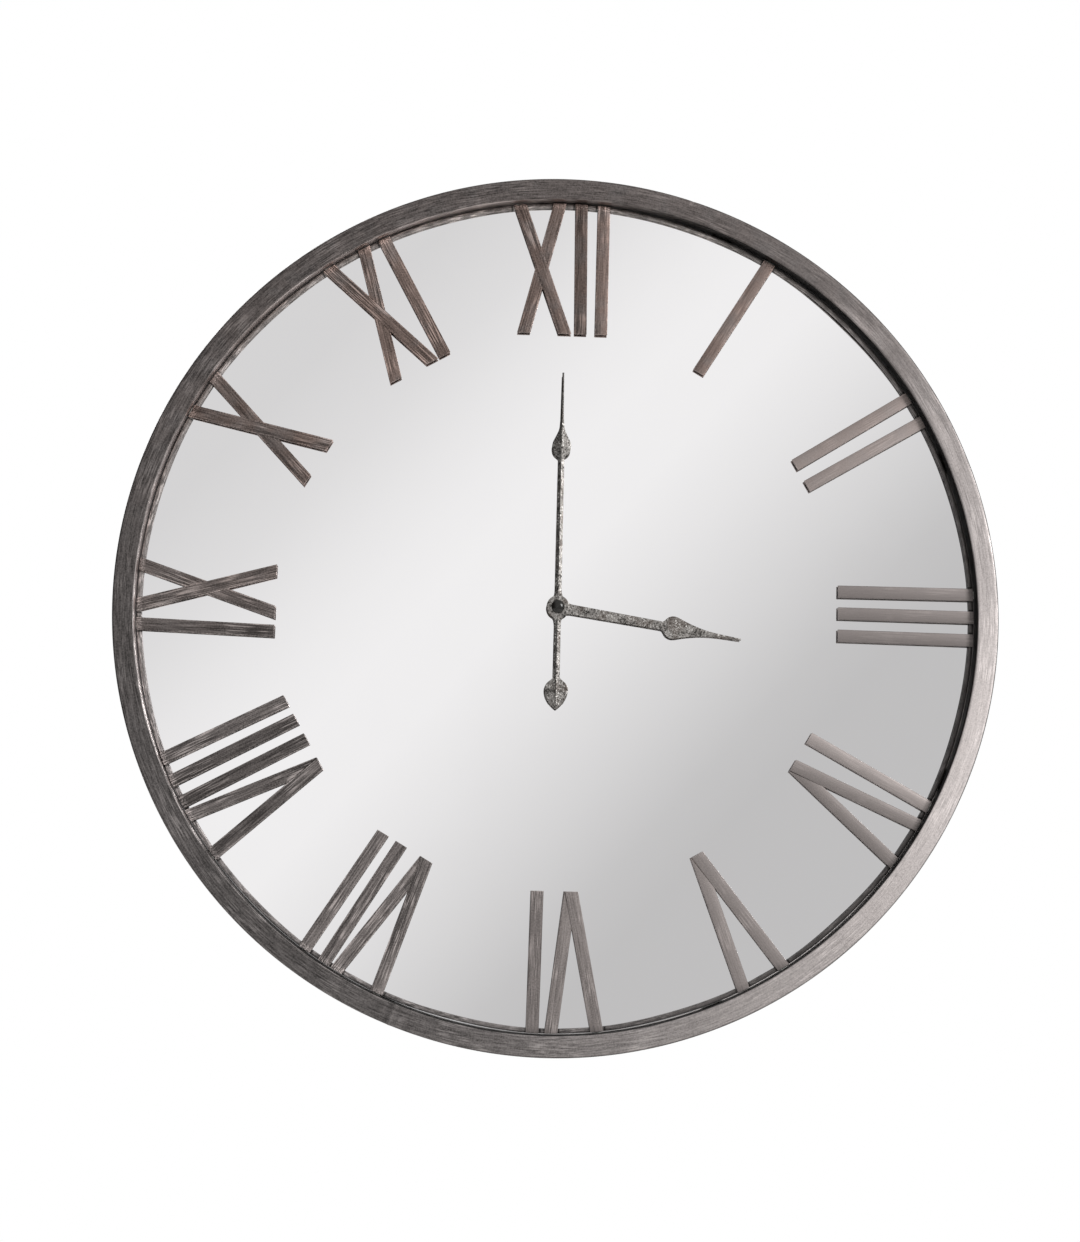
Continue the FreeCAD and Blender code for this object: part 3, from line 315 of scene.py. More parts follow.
class Sheet(Tree):
    """A material's node tree, which starts with a lone principled shader."""

    def __init__(self, name: str) -> None:
        """Starts a material of this name."""
        self.material = bpy.data.materials.new(name)
        self.material.use_nodes = True
        super().__init__(self.material.node_tree)
        self.shader = self.make("BsdfPrincipled")
        self.make("OutputMaterial", self.shader.outputs[0])

    def set(self, name: str, value: object) -> None:
        """Feeds one of the principled shader's sockets."""
        self.feed(self.shader.inputs[name], value)

    def blend(self, amount: object, first: object, second: object) -> Socket:
        """Two colours mixed.

        Args:
            amount: The share of the second colour.
            first: The first colour.
            second: The second colour.

        Returns:
            The mixture.
        """
        node = self.make("Mix", amount, data_type="RGBA")
        for socket, colour in zip(node.inputs[6:8], (first, second)):
            self.feed(socket, colour)
        return node.outputs[2]

    def tint(self, level: object, hue: object) -> Socket:
        """A hue made as bright as a level."""
        node = self.make("VectorMath", hue, operation="SCALE")
        self.feed(node.inputs["Scale"], level)
        return node.outputs[0]

    def noise(self, place: Socket, scale: float, detail: float = 3.0, rough: float = 0.55) -> Socket:
        """Fractal noise, from 0 to 1.

        Args:
            place: Where it is read.
            scale: How many marks it has in a unit of the place.
            detail: How many finer noises are added to it.
            rough: How strong the finer ones are.

        Returns:
            The noise.
        """
        node = self.make("TexNoise", place)
        for name, value in (("Scale", scale), ("Detail", detail), ("Roughness", rough)):
            node.inputs[name].default_value = value
        return node.outputs[0]

    def cells(self, place: Socket, scale: float) -> Socket:
        """The distance to the nearest of many scattered points, in cell widths."""
        node = self.make("TexVoronoi", place)
        node.inputs["Scale"].default_value = scale
        return node.outputs[0]

    def place(self) -> Socket:
        """The place on the object, in metres."""
        return self.make("TexCoord").outputs["Object"]

    def tone(self) -> Socket:
        """How much brighter than its finish the metal is, as the mesh states it: wear, and on some pieces
        painted shade and shadow.
        """
        return self.make("Attribute", attribute_name="tone").outputs["Fac"]

    def strip_place(self) -> list[Socket]:
        """The place across and along a strip, in metres."""
        return self.parts(self.make("UVMap", uv_map="surface").outputs[0])[:2]

    def radius(self) -> Socket:
        """The distance from the hands' axis."""
        x, _, z = self.parts(self.place())
        return self.math("SQRT", self.total(self.product(x, x), self.product(z, z)))

    def towards(self, clock_angle: float) -> Socket:
        """How far round the dial a place lies towards an angle: 1 there, -1 on the far side."""
        x, _, z = self.parts(self.place())
        turn = math.radians(clock_angle)
        reach = self.total(self.product(x, math.sin(turn)), self.product(z, math.cos(turn)))
        return self.math("DIVIDE", reach, self.radius())

    def grain(self, way: Grain, along: float, across: float) -> Socket:
        """Coordinates whose noise runs as the finish does: few marks along it, many across it.

        Args:
            way: Which way the marks run.
            along: Marks in a metre along the grain, or in a radian round a hoop.
            across: Marks in a metre across the grain.

        Returns:
            The coordinates.
        """
        if way is Grain.STRIP:
            side, length = self.strip_place()
            scaled = self.product(side, across), self.product(length, along), self.tone()
            return self.make("CombineXYZ", *scaled).outputs[0]
        x, y, z = self.parts(self.place())
        if way is Grain.HOOP:
            reach = self.radius()
            x, z = self.math("DIVIDE", x, reach), self.math("DIVIDE", z, reach)
            y = self.total(reach, y)
        scaled = self.product(x, along), self.product(y, across), self.product(z, along)
        return self.make("CombineXYZ", *scaled).outputs[0]

    def bump(self, height: Socket, distance: float, strength: float) -> None:
        """Raises the surface by a height from 0 to 1 times a distance."""
        node = self.make("Bump")
        for name, value in (("Strength", strength), ("Distance", distance), ("Height", height)):
            self.feed(node.inputs[name], value)
        self.set("Normal", node.outputs[0])


# ---------------------------------------------------------------- finishes
# Clock angles on the burnished steel: brown stain at the top, painted light on the right where the light
# comes from, and painted shade on the rim's inner wall and rolled outer edge.
FAINT_MARKS = 98.0
EDGES_LIT_SIDE = 120.0
SHADED_OUTER_EDGE_SIDE = 110.0
LIT_WALL_SIDE = 300.0
STAINED = 345.0
# Where a strip's end by the ring lies, and how deep the painted shade on the rim's inner wall reaches
# behind the dial side.
STRIP_ENDS = (0.3735, 0.3765)
WALL_SHADE_DEPTHS = (-0.007, -0.004)
# Marks in a metre.
SPECKS, PATCHES, STAINS = 780.0, 34.0, 40.0


@dataclass(frozen=True)
class BurnishedSteel:
    """Burnished steel with painted light and shade round the dial: brighter on one side and darker on the
    other, as the light falls.

    Fine scratches and bright flecks run along its grain. Their contrast is strongest on the painted dark
    side.

    Attributes:
        name: The material's name.
        way: Which way the scratches run.
        along: Scratches in a metre, or a radian, along the grain.
        across: Scratches in a metre across it.
        least: The painted brightness on the side of the dial away from towards.
        most: The painted brightness at towards.
        towards: The clock angle of the painted lit side for the rim and strips, and of the painted shadow
            that the rim casts for the ring.
        spread: How far round the dial it reaches: 0 for half way and 1 for all the way.
        power: How fast it fades.
        contrast: The scratches' strength on the painted dark side and on the painted lit side.
        hue: The steel's hue.
        brown: The hue of the stain near the top.
        lines: How strong the scratches are.
        weave: How strong the specks between them are.
        drift: How strongly the shade wanders along the grain.
        scuffs: How bright the rubbed patches are.
        worn_and_lit_edge: The width of a strip whose long edges are painted bright, with wear and a painted
            edge highlight, or 0 for none.
        shaded_wall_inside: The radius inside which the rim's inner wall gets painted shade, or 0 for none.
        shaded_outer_edge: The radius outside which the rolled outer edge gets painted shade on the lit
            side, or 0 for none.
        rough: The roughest and the smoothest that it gets.
    """

    name: str
    way: Grain
    along: float
    across: float
    least: float
    most: float
    towards: float
    spread: float
    power: float
    contrast: tuple[float, float]
    hue: Colour
    brown: Colour
    lines: float = 9.0
    weave: float = 4.0
    drift: float = 2.0
    scuffs: float = 3.6
    worn_and_lit_edge: float = 0.0
    shaded_wall_inside: float = 0.0
    shaded_outer_edge: float = 0.0
    rough: tuple[float, float] = (0.50, 0.36)

    def build(self) -> bpy.types.Material:
        """The material."""
        sheet = Sheet(self.name)
        fine = sheet.noise(sheet.grain(self.way, self.along, self.across), 1.0, 1.5, 0.6)
        broad = sheet.noise(sheet.grain(self.way, self.along * 0.25, self.across * 0.15), 1.0, 2.0, 0.5)
        speck = sheet.noise(sheet.place(), SPECKS, 1.0, 0.6)
        level = sheet.product(self.shade(sheet), self.marks(sheet, fine, broad, speck), sheet.tone())
        if self.worn_and_lit_edge:
            level = self.worn(sheet, level, speck)
        if self.shaded_wall_inside:
            level = self.with_wall_shade(sheet, level, fine)
        if self.shaded_outer_edge:
            # Painted shade on the rolled outer edge, on the lit side round SHADED_OUTER_EDGE_SIDE.
            outer_edge_shade = sheet.spread(sheet.radius(), self.shaded_outer_edge, self.shaded_outer_edge + 1.2 * MM, 0.0, 0.6)
            outer_edge_shade = sheet.product(outer_edge_shade, sheet.spread(sheet.towards(SHADED_OUTER_EDGE_SIDE), -0.1, 0.5))
            level = sheet.product(level, sheet.less(1.0, outer_edge_shade))
        blots = sheet.spread(sheet.noise(sheet.place(), STAINS, 3.0, 0.6), 0.30, 0.62, 0.45, 1.15)
        stain = sheet.product(sheet.spread(sheet.towards(STAINED), -0.1, 1.0), blots)
        hue = sheet.blend(stain, self.hue, self.brown)
        sheet.set("Base Color", sheet.tint(sheet.math("MINIMUM", level, 0.9), hue))
        sheet.set("Metallic", 1.0)
        mixed = sheet.total(fine, sheet.product(broad, 0.5))
        sheet.set("Roughness", sheet.spread(mixed, 0.5, 1.0, *self.rough))
        sheet.bump(fine, 0.05 * MM, 0.6)
        return sheet.material

    def shade(self, sheet: Sheet) -> Socket:
        """The painted light and shade before any marks: from least to most, by the place round the dial."""
        facing = sheet.total(sheet.towards(self.towards), self.spread)
        facing = sheet.math("MAXIMUM", sheet.math("DIVIDE", facing, 1 + self.spread), 0.0)
        facing = sheet.math("POWER", facing, self.power)
        return sheet.total(sheet.product(facing, self.most - self.least), self.least)

    def marks(self, sheet: Sheet, fine: Socket, broad: Socket, speck: Socket) -> Socket:
        """The scratches, specks and rubbed patches.

        Args:
            sheet: The material's tree.
            fine: The noise of the scratches.
            broad: The noise of the shade along them.
            speck: The noise of the specks.

        Returns:
            How much brighter they make the steel.
        """
        noises = ((fine, self.lines), (speck, self.weave), (broad, self.drift))
        streaks = sheet.total(*(sheet.product(sheet.less(noise, 0.5), strength)
                                for noise, strength in noises))
        patches = sheet.spread(sheet.noise(sheet.place(), PATCHES, 2.0, 0.6), 0.46, 0.62)
        flecks = sheet.product(sheet.spread(fine, 0.48, 0.64), patches, self.scuffs)
        marks = sheet.less(sheet.total(streaks, flecks), 0.12 * self.scuffs)
        # The marks are fainter on the painted lit side round FAINT_MARKS.
        side = sheet.spread(sheet.towards(FAINT_MARKS), -0.5, 1.0, *self.contrast)
        return sheet.math("MAXIMUM", sheet.total(sheet.product(marks, side), 1.0), 0.35)

    def worn(self, sheet: Sheet, level: Socket, speck: Socket) -> Socket:
        """Brightens a strip's long edges and its end by the ring with worn specks; on the long edges this
        is also a painted edge highlight. It is strongest away from the light and turns a little darker on
        the lit side round EDGES_LIT_SIDE.

        Args:
            sheet: The material's tree.
            level: The strip's brightness.
            speck: The noise of the specks.

        Returns:
            The brightness with its worn and painted bright edges.
        """
        across, _ = sheet.strip_place()
        side = self.worn_and_lit_edge / 2
        edge = sheet.spread(sheet.math("ABSOLUTE", across), side - 1.3 * MM, side - 0.3 * MM)
        end = sheet.product(sheet.spread(sheet.radius(), *STRIP_ENDS), 1.6)
        # Wear plus a painted edge highlight, fading out towards the lit side.
        rubbed = sheet.product(sheet.total(edge, end), sheet.spread(speck, 0.40, 0.60),
                               sheet.spread(sheet.towards(EDGES_LIT_SIDE), -0.2, 0.6, 0.75, -0.15))
        return sheet.product(level, sheet.total(rubbed, 1.0))

    def with_wall_shade(self, sheet: Sheet, level: Socket, fine: Socket) -> Socket:
        """Paints shade on the front part of the rim's inner wall: nearly black where it faces away from the
        light, lighter where it faces it.

        Args:
            sheet: The material's tree.
            level: The rim's brightness.
            fine: The noise of the scratches.

        Returns:
            The brightness with the painted wall shade.
        """
        wall = sheet.spread(sheet.radius(), self.shaded_wall_inside, self.shaded_wall_inside + 0.5 * MM, 1.0, 0.0)
        wall = sheet.product(wall, sheet.spread(sheet.parts(sheet.place())[1], *WALL_SHADE_DEPTHS, 1.0, 0.0))
        # Painted shade: nearly black on the right, lighter towards LIT_WALL_SIDE where the wall faces the
        # light.
        painted_wall_shade = sheet.product(sheet.spread(sheet.towards(LIT_WALL_SIDE), 0.15, 0.70, 0.012, 0.42),
                             sheet.spread(fine, 0.3, 0.7, 0.6, 1.4))
        return sheet.total(sheet.product(wall, painted_wall_shade), sheet.product(sheet.less(1.0, wall), level))


@dataclass(frozen=True)
class CastPewter:
    """Dark cast metal with a hammered, pitted skin whose high spots are rubbed bright.

    Attributes:
        name: The material's name.
        dark: The colour in the pits.
        pale: The colour of the high spots.
        brown: The colour of the stain.
        bright: The colour of the smallest rubbed specks.
    """

    name: str
    dark: Colour
    pale: Colour
    brown: Colour
    bright: Colour

    def build(self) -> bpy.types.Material:
        """The material."""
        sheet = Sheet(self.name)
        pits = sheet.noise(sheet.place(), 900.0, 2.0, 0.65)
        blotch = sheet.noise(sheet.place(), 190.0, 3.0, 0.6)
        cell = sheet.cells(sheet.place(), 560.0)
        height = sheet.total(sheet.product(pits, 0.6), sheet.product(cell, 0.4))
        mixed = sheet.total(sheet.product(height, 0.6), sheet.product(blotch, 0.4))
        metal = sheet.blend(sheet.spread(mixed, 0.38, 0.54), self.dark, self.pale)
        stain = sheet.spread(sheet.noise(sheet.place(), 60.0, 3.0, 0.6), 0.45, 0.65, 0.0, 0.5)
        # On the hands the tone carries their painted facet shade.
        metal = sheet.tint(sheet.tone(), sheet.blend(stain, metal, self.brown))
        specks = sheet.product(sheet.spread(pits, 0.54, 0.64), sheet.spread(blotch, 0.42, 0.56),
                               sheet.spread(sheet.tone(), 0.25, 0.42, 0.0, 0.8))
        sheet.set("Base Color", sheet.blend(specks, metal, self.bright))
        sheet.set("Metallic", 0.9)
        sheet.set("Roughness", sheet.spread(height, 0.3, 0.7, 0.58, 0.42))
        sheet.bump(height, 0.25 * MM, 0.7)
        return sheet.material


@dataclass(frozen=True)
class SilveredGlass:
    """A mirror with a breath of dust, a little rougher where the dust lies.

    Attributes:
        name: The material's name.
        silver: Its reflection colour.
        dusty: The colour where dust lies.
    """

    name: str
    silver: Colour
    dusty: Colour

    def build(self) -> bpy.types.Material:
        """The material."""
        sheet = Sheet(self.name)
        dust = sheet.spread(sheet.noise(sheet.place(), 6.0, 5.0, 0.6), 0.52, 0.78, 0.0, 0.12)
        sheet.set("Base Color", sheet.blend(dust, self.silver, self.dusty))
        sheet.set("Metallic", 1.0)
        sheet.set("Roughness", sheet.spread(dust, 0.0, 0.12, 0.015, 0.035))
        return sheet.material


@dataclass(frozen=True)
class PlainFinish:
    """A surface of two near shades with small marks, for plastics, rubber, board and plain metals.

    Attributes:
        name: The material's name.
        first: The main colour.
        second: The colour of its marks.
        scale: Marks in a metre.
        rough: The smoothest and roughest it gets.
        metallic: 1 for bare metal.
        way: Which way its marks run.
        stretch: How many times longer than wide the marks are.
        relief: How high its marks stand.
        clear: The weight of a clear coat.
        wear: Where the marks begin and end in the noise.
        gloss: The specular level, 0.5 for common materials.
    """

    name: str
    first: Colour
    second: Colour
    scale: float
    rough: tuple[float, float] = (0.4, 0.6)
    metallic: float = 0.0
    way: Grain = Grain.CLOUD
    stretch: float = 1.0
    relief: float = 0.02 * MM
    clear: float = 0.0
    wear: tuple[float, float] = (0.4, 0.7)
    gloss: float = 0.5

    def build(self) -> bpy.types.Material:
        """The material."""
        sheet = Sheet(self.name)
        reach = sheet.grain(self.way, self.scale / self.stretch, self.scale)
        marks = sheet.noise(reach, 1.0, 4.0, 0.6)
        cloud = sheet.noise(sheet.place(), self.scale / 12, 3.0, 0.55)
        mixed = sheet.total(sheet.product(marks, 0.65), sheet.product(cloud, 0.35))
        mask = sheet.spread(mixed, *self.wear)
        sheet.set("Base Color", sheet.blend(mask, self.first, self.second))
        sheet.set("Metallic", self.metallic)
        sheet.set("Roughness", sheet.spread(mixed, 0.3, 0.7, *self.rough))
        sheet.set("Coat Weight", self.clear)
        sheet.set("Specular IOR Level", self.gloss)
        sheet.bump(marks, self.relief, 0.7)
        return sheet.material


STEEL_HUE = (1.0, 0.915, 0.890)
# The rim is painted brighter towards 123 degrees, where the light comes from, with painted shade on its
# inner wall and rolled outer edge.
RIM_FINISH = BurnishedSteel(
    "rim_burnished_steel", Grain.HOOP, 22.0, 900.0, 0.137, 0.530, 123.0, 0.25, 2.9, (0.28, 0.13),
    STEEL_HUE, (1.0, 0.87, 0.83), lines=7.5, weave=5.0, drift=1.8, scuffs=2.0, shaded_wall_inside=0.3807,
    shaded_outer_edge=0.3983)
# The ring is painted dark towards 110 degrees: the shadow that the rim casts on it.
RING_FINISH = BurnishedSteel(
    "ring_bare_steel", Grain.HOOP, 40.0, 900.0, 0.36, 0.08, 110.0, 1.0, 1.6, (0.27, 0.15),
    STEEL_HUE, (1.0, 0.90, 0.85), rough=(0.44, 0.30))
# The strips are painted brighter towards 135 degrees, where the light comes from, with worn and painted
# bright edges.
LETTER_FINISH = BurnishedSteel(
    "letter_burnished_steel", Grain.STRIP, 34.0, 900.0, 0.178, 0.300, 135.0, 1.0, 1.0, (0.41, 0.06),
    (1.0, 0.89, 0.855), (1.0, 0.75, 0.66), lines=5.5, weave=4.0, drift=3.0, scuffs=3.2,
    worn_and_lit_edge=11.5 * MM)
HAND_FINISH = CastPewter(
    "hand_cast_pewter", (0.055, 0.051, 0.047), (0.33, 0.310, 0.293), (0.14, 0.108, 0.092),
    (0.72, 0.70, 0.67))
MIRROR_FINISH = SilveredGlass("mirror_silvered_glass", (0.946, 0.935, 0.940), (0.856, 0.845, 0.845))
CAP_FINISH = PlainFinish(
    "cap_black_enamel", (0.008, 0.007, 0.006), (0.016, 0.014, 0.012), 700.0, (0.16, 0.22),
    relief=0.005 * MM, gloss=0.45)

NODE_FINISHES: dict[PlainFinish, tuple[str, ...]] = {
    PlainFinish("back_hardboard", (0.20, 0.115, 0.060), (0.31, 0.19, 0.105), 900.0, (0.6, 0.85),
                stretch=2.5, relief=0.08 * MM): ("backing_board",),
    PlainFinish("zinc_plate", (0.50, 0.50, 0.48), (0.66, 0.66, 0.62), 500.0, (0.28, 0.5), 1.0, stretch=3.0):
        ("backing_clips", "clip_screws", "hanger_plate", "hanger_rivets", "ring_tabs"),
    PlainFinish("pad_rubber", (0.022, 0.022, 0.023), (0.045, 0.045, 0.045), 1200.0, (0.65, 0.9),
                relief=0.04 * MM): ("wall_bumpers", "gasket"),
    PlainFinish("pad_felt", (0.030, 0.030, 0.032), (0.075, 0.075, 0.075), 3000.0, (0.85, 1.0),
                relief=0.2 * MM): ("glazing_pads",),
    PlainFinish("case_moulded_plastic", (0.020, 0.020, 0.021), (0.034, 0.034, 0.035), 2200.0, (0.42, 0.6),
                relief=0.05 * MM): ("movement_case", "movement_lid", "setting_knob"),
    PlainFinish("wheel_acetal", (0.78, 0.77, 0.72), (0.86, 0.85, 0.81), 700.0, (0.3, 0.45)):
        ("hour_wheel", "minute_work_wheel", "rotor_pinion", "intermediate_wheel", "seconds_wheel",
         "third_wheel", "centre_wheel", "middle_plate", "train_bridge"),
    PlainFinish("turned_brass", (0.62, 0.43, 0.17), (0.78, 0.60, 0.30), 1500.0, (0.18, 0.34), 1.0,
                Grain.HOOP, 300.0): ("centre_post", "dial_washer", "dial_nut", "minute_arbor"),
    PlainFinish("rotor_ferrite", (0.060, 0.060, 0.064), (0.11, 0.11, 0.115), 1500.0, (0.4, 0.6), 0.6):
        ("rotor_magnet",),
    PlainFinish("stator_iron", (0.36, 0.36, 0.35), (0.52, 0.52, 0.51), 900.0, (0.3, 0.5), 1.0, stretch=4.0):
        ("stator", "coil_core"),
    PlainFinish("coil_copper", (0.50, 0.20, 0.075), (0.68, 0.32, 0.14), 5000.0, (0.2, 0.36), 1.0,
                stretch=0.05, relief=0.12 * MM): ("coil",),
    PlainFinish("board_laminate", (0.030, 0.110, 0.050), (0.050, 0.170, 0.080), 800.0, (0.25, 0.4),
                clear=0.3): ("circuit_board",),
    PlainFinish("chip_resin", (0.012, 0.012, 0.012), (0.022, 0.022, 0.022), 900.0, (0.2, 0.35)):
        ("chip_blob",),
    PlainFinish("bright_nickel", (0.62, 0.61, 0.58), (0.76, 0.75, 0.72), 900.0, (0.12, 0.26), 1.0):
        ("quartz_crystal", "battery_contact_plus", "battery_contact_minus", "clutch_washer"),
    PlainFinish("cell_wrapper", (0.028, 0.060, 0.100), (0.038, 0.078, 0.125), 300.0, (0.22, 0.34),
                clear=0.5): ("battery_cell",),
}


def dress(piece: bpy.types.Object, material: bpy.types.Material) -> None:
    """Gives every face of a piece one material."""
    piece.data.materials.clear()
    piece.data.materials.append(material)


def fit_piece(name: str, shells: list[Shell], material: bpy.types.Material, body: str, node: str) -> None:
    """Makes a piece, dresses it and hides the plain part that it stands for.

    Args:
        name: The piece's name.
        shells: Its surfaces.
        material: What it is made of.
        body: The body that it rides on.
        node: The plain part.
    """
    piece = join_shells(name, shells)
    dress(piece, material)
    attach(piece, body)
    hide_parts(node)
    LOG.info("%s: %d faces", name, len(piece.data.polygons))


# ---------------------------------------------------------------- the rim and the ring
@dataclass
class Rim:
    """The rolled steel rim.

    Attributes:
        face: The width of its front face.
        edge: The radius of its rolled edges.
        steps: How many sections go round it.
        seam: The angle of its weld.
        seam_shadow: The angle of the painted shadow line beside the weld.
        swell: How far the weld stands out, sideways and to the front.
        dents: Small dents: (angle, spread in degrees, side from -1 inner to 1 outer, depth in mm).
        tone_spots: Brighter spots, and darker ones where the gain is below 0: (angle, spread in degrees,
            side, how much brighter).
    """

    face: float = 19.5 * MM
    edge: float = 1.6 * MM
    steps: int = 1440
    seam: float = 200.5
    seam_shadow: float = 201.1
    swell: tuple[float, float] = (0.25 * MM, 0.30 * MM)
    dents: tuple[tuple[float, float, float, float], ...] = (
        (199.2, 0.5, 0.7, 0.45), (201.8, 0.4, 0.2, 0.4), (17.0, 0.25, 1.0, 0.5), (159.0, 0.25, -1.0, 0.4),
        (329.0, 0.3, 0.9, 0.3), (340.0, 0.8, -0.9, 0.25))
    tone_spots: tuple[tuple[float, float, float, float], ...] = (
        (45.0, 4.5, -0.7, 0.7), (64.0, 5.5, -0.2, 0.35), (105.0, 16.0, 0.2, 0.12), (240.0, 7.0, 0.2, 0.30),
        (17.0, 0.4, 1.0, 0.8), (12.0, 7.0, 0.6, 0.15), (300.0, 9.0, 0.0, 0.10), (202.5, 0.6, -0.2, -0.35),
        (199.3, 0.5, 0.3, 0.45), (198.2, 0.5, 0.8, -0.3), (84.0, 7.0, 0.0, -0.16))

    def shape(self) -> Shell:
        """The hoop: a rounded section carried round the axis, with its weld and dents.

        Each point moves by a gentle ripple, a Gaussian ridge at the weld and small Gaussian dents.
        """
        low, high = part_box("rim_tube")
        corners = rounded_section(self.face, high.y - low.y, self.edge, 6).reshape(4, -1, 2)
        flat = np.linspace(0, 1, 9)[1:-1, None]
        outline = np.concatenate([
            part for here, after in zip(corners, np.roll(corners, -1, axis=0))
            for part in (here, here[-1] + flat * (after[0] - here[-1]))])
        across, inwards = outline[None, :, 0], outline[None, :, 1]
        turn = np.linspace(0, 2 * math.pi, self.steps, endpoint=False)
        degrees = np.degrees(turn)[:, None]
        front = np.clip(1 - inwards / (4 * MM), 0, 1)
        outer = np.clip(across / (self.face / 2), -1, 1)
        weld = bell(degrees - self.seam, 0.16)
        radius = high.x - self.face / 2 + across + smooth_noise(turn, 3, 9, 0.10 * MM)[:, None]
        radius = radius + weld * outer * self.swell[0]
        depth = low.y + inwards + smooth_noise(turn, 5, 14, 0.08 * MM)[:, None]
        depth = depth - weld * front * self.swell[1]
        for angle, spread, side, size in self.dents:
            depth = depth + bell(degrees - angle, spread) * bell(outer - side, 0.35) * front * size * MM
        # A bright line on the weld, and a painted shadow line beside it.
        tone = 1 + 0.35 * bell(degrees - self.seam, 0.22) - 0.35 * bell(degrees - self.seam_shadow, 0.3)
        for angle, spread, side, gain in self.tone_spots:
            tone = tone + gain * bell(degrees - angle, spread) * bell(outer - side, 0.4)
        return hoop(radius, depth, turn, tone)

    def build(self) -> None:
        """Makes the rim and hides the plain tube that it stands for."""
        fit_piece("rim_hoop", [self.shape()], RIM_FINISH.build(), "clock", "rim_tube")


@dataclass
class Letter:
    """One letter of a numeral.

    Attributes:
        kind: I, V or X.
        outer: How far its centre stands clockwise of the hour line at the ring, in millimetres.
        inner: The same at its inner end.
        worn: How bright its metal is next to the letters around it.
    """

    kind: str
    outer: float
    inner: float
    worn: float


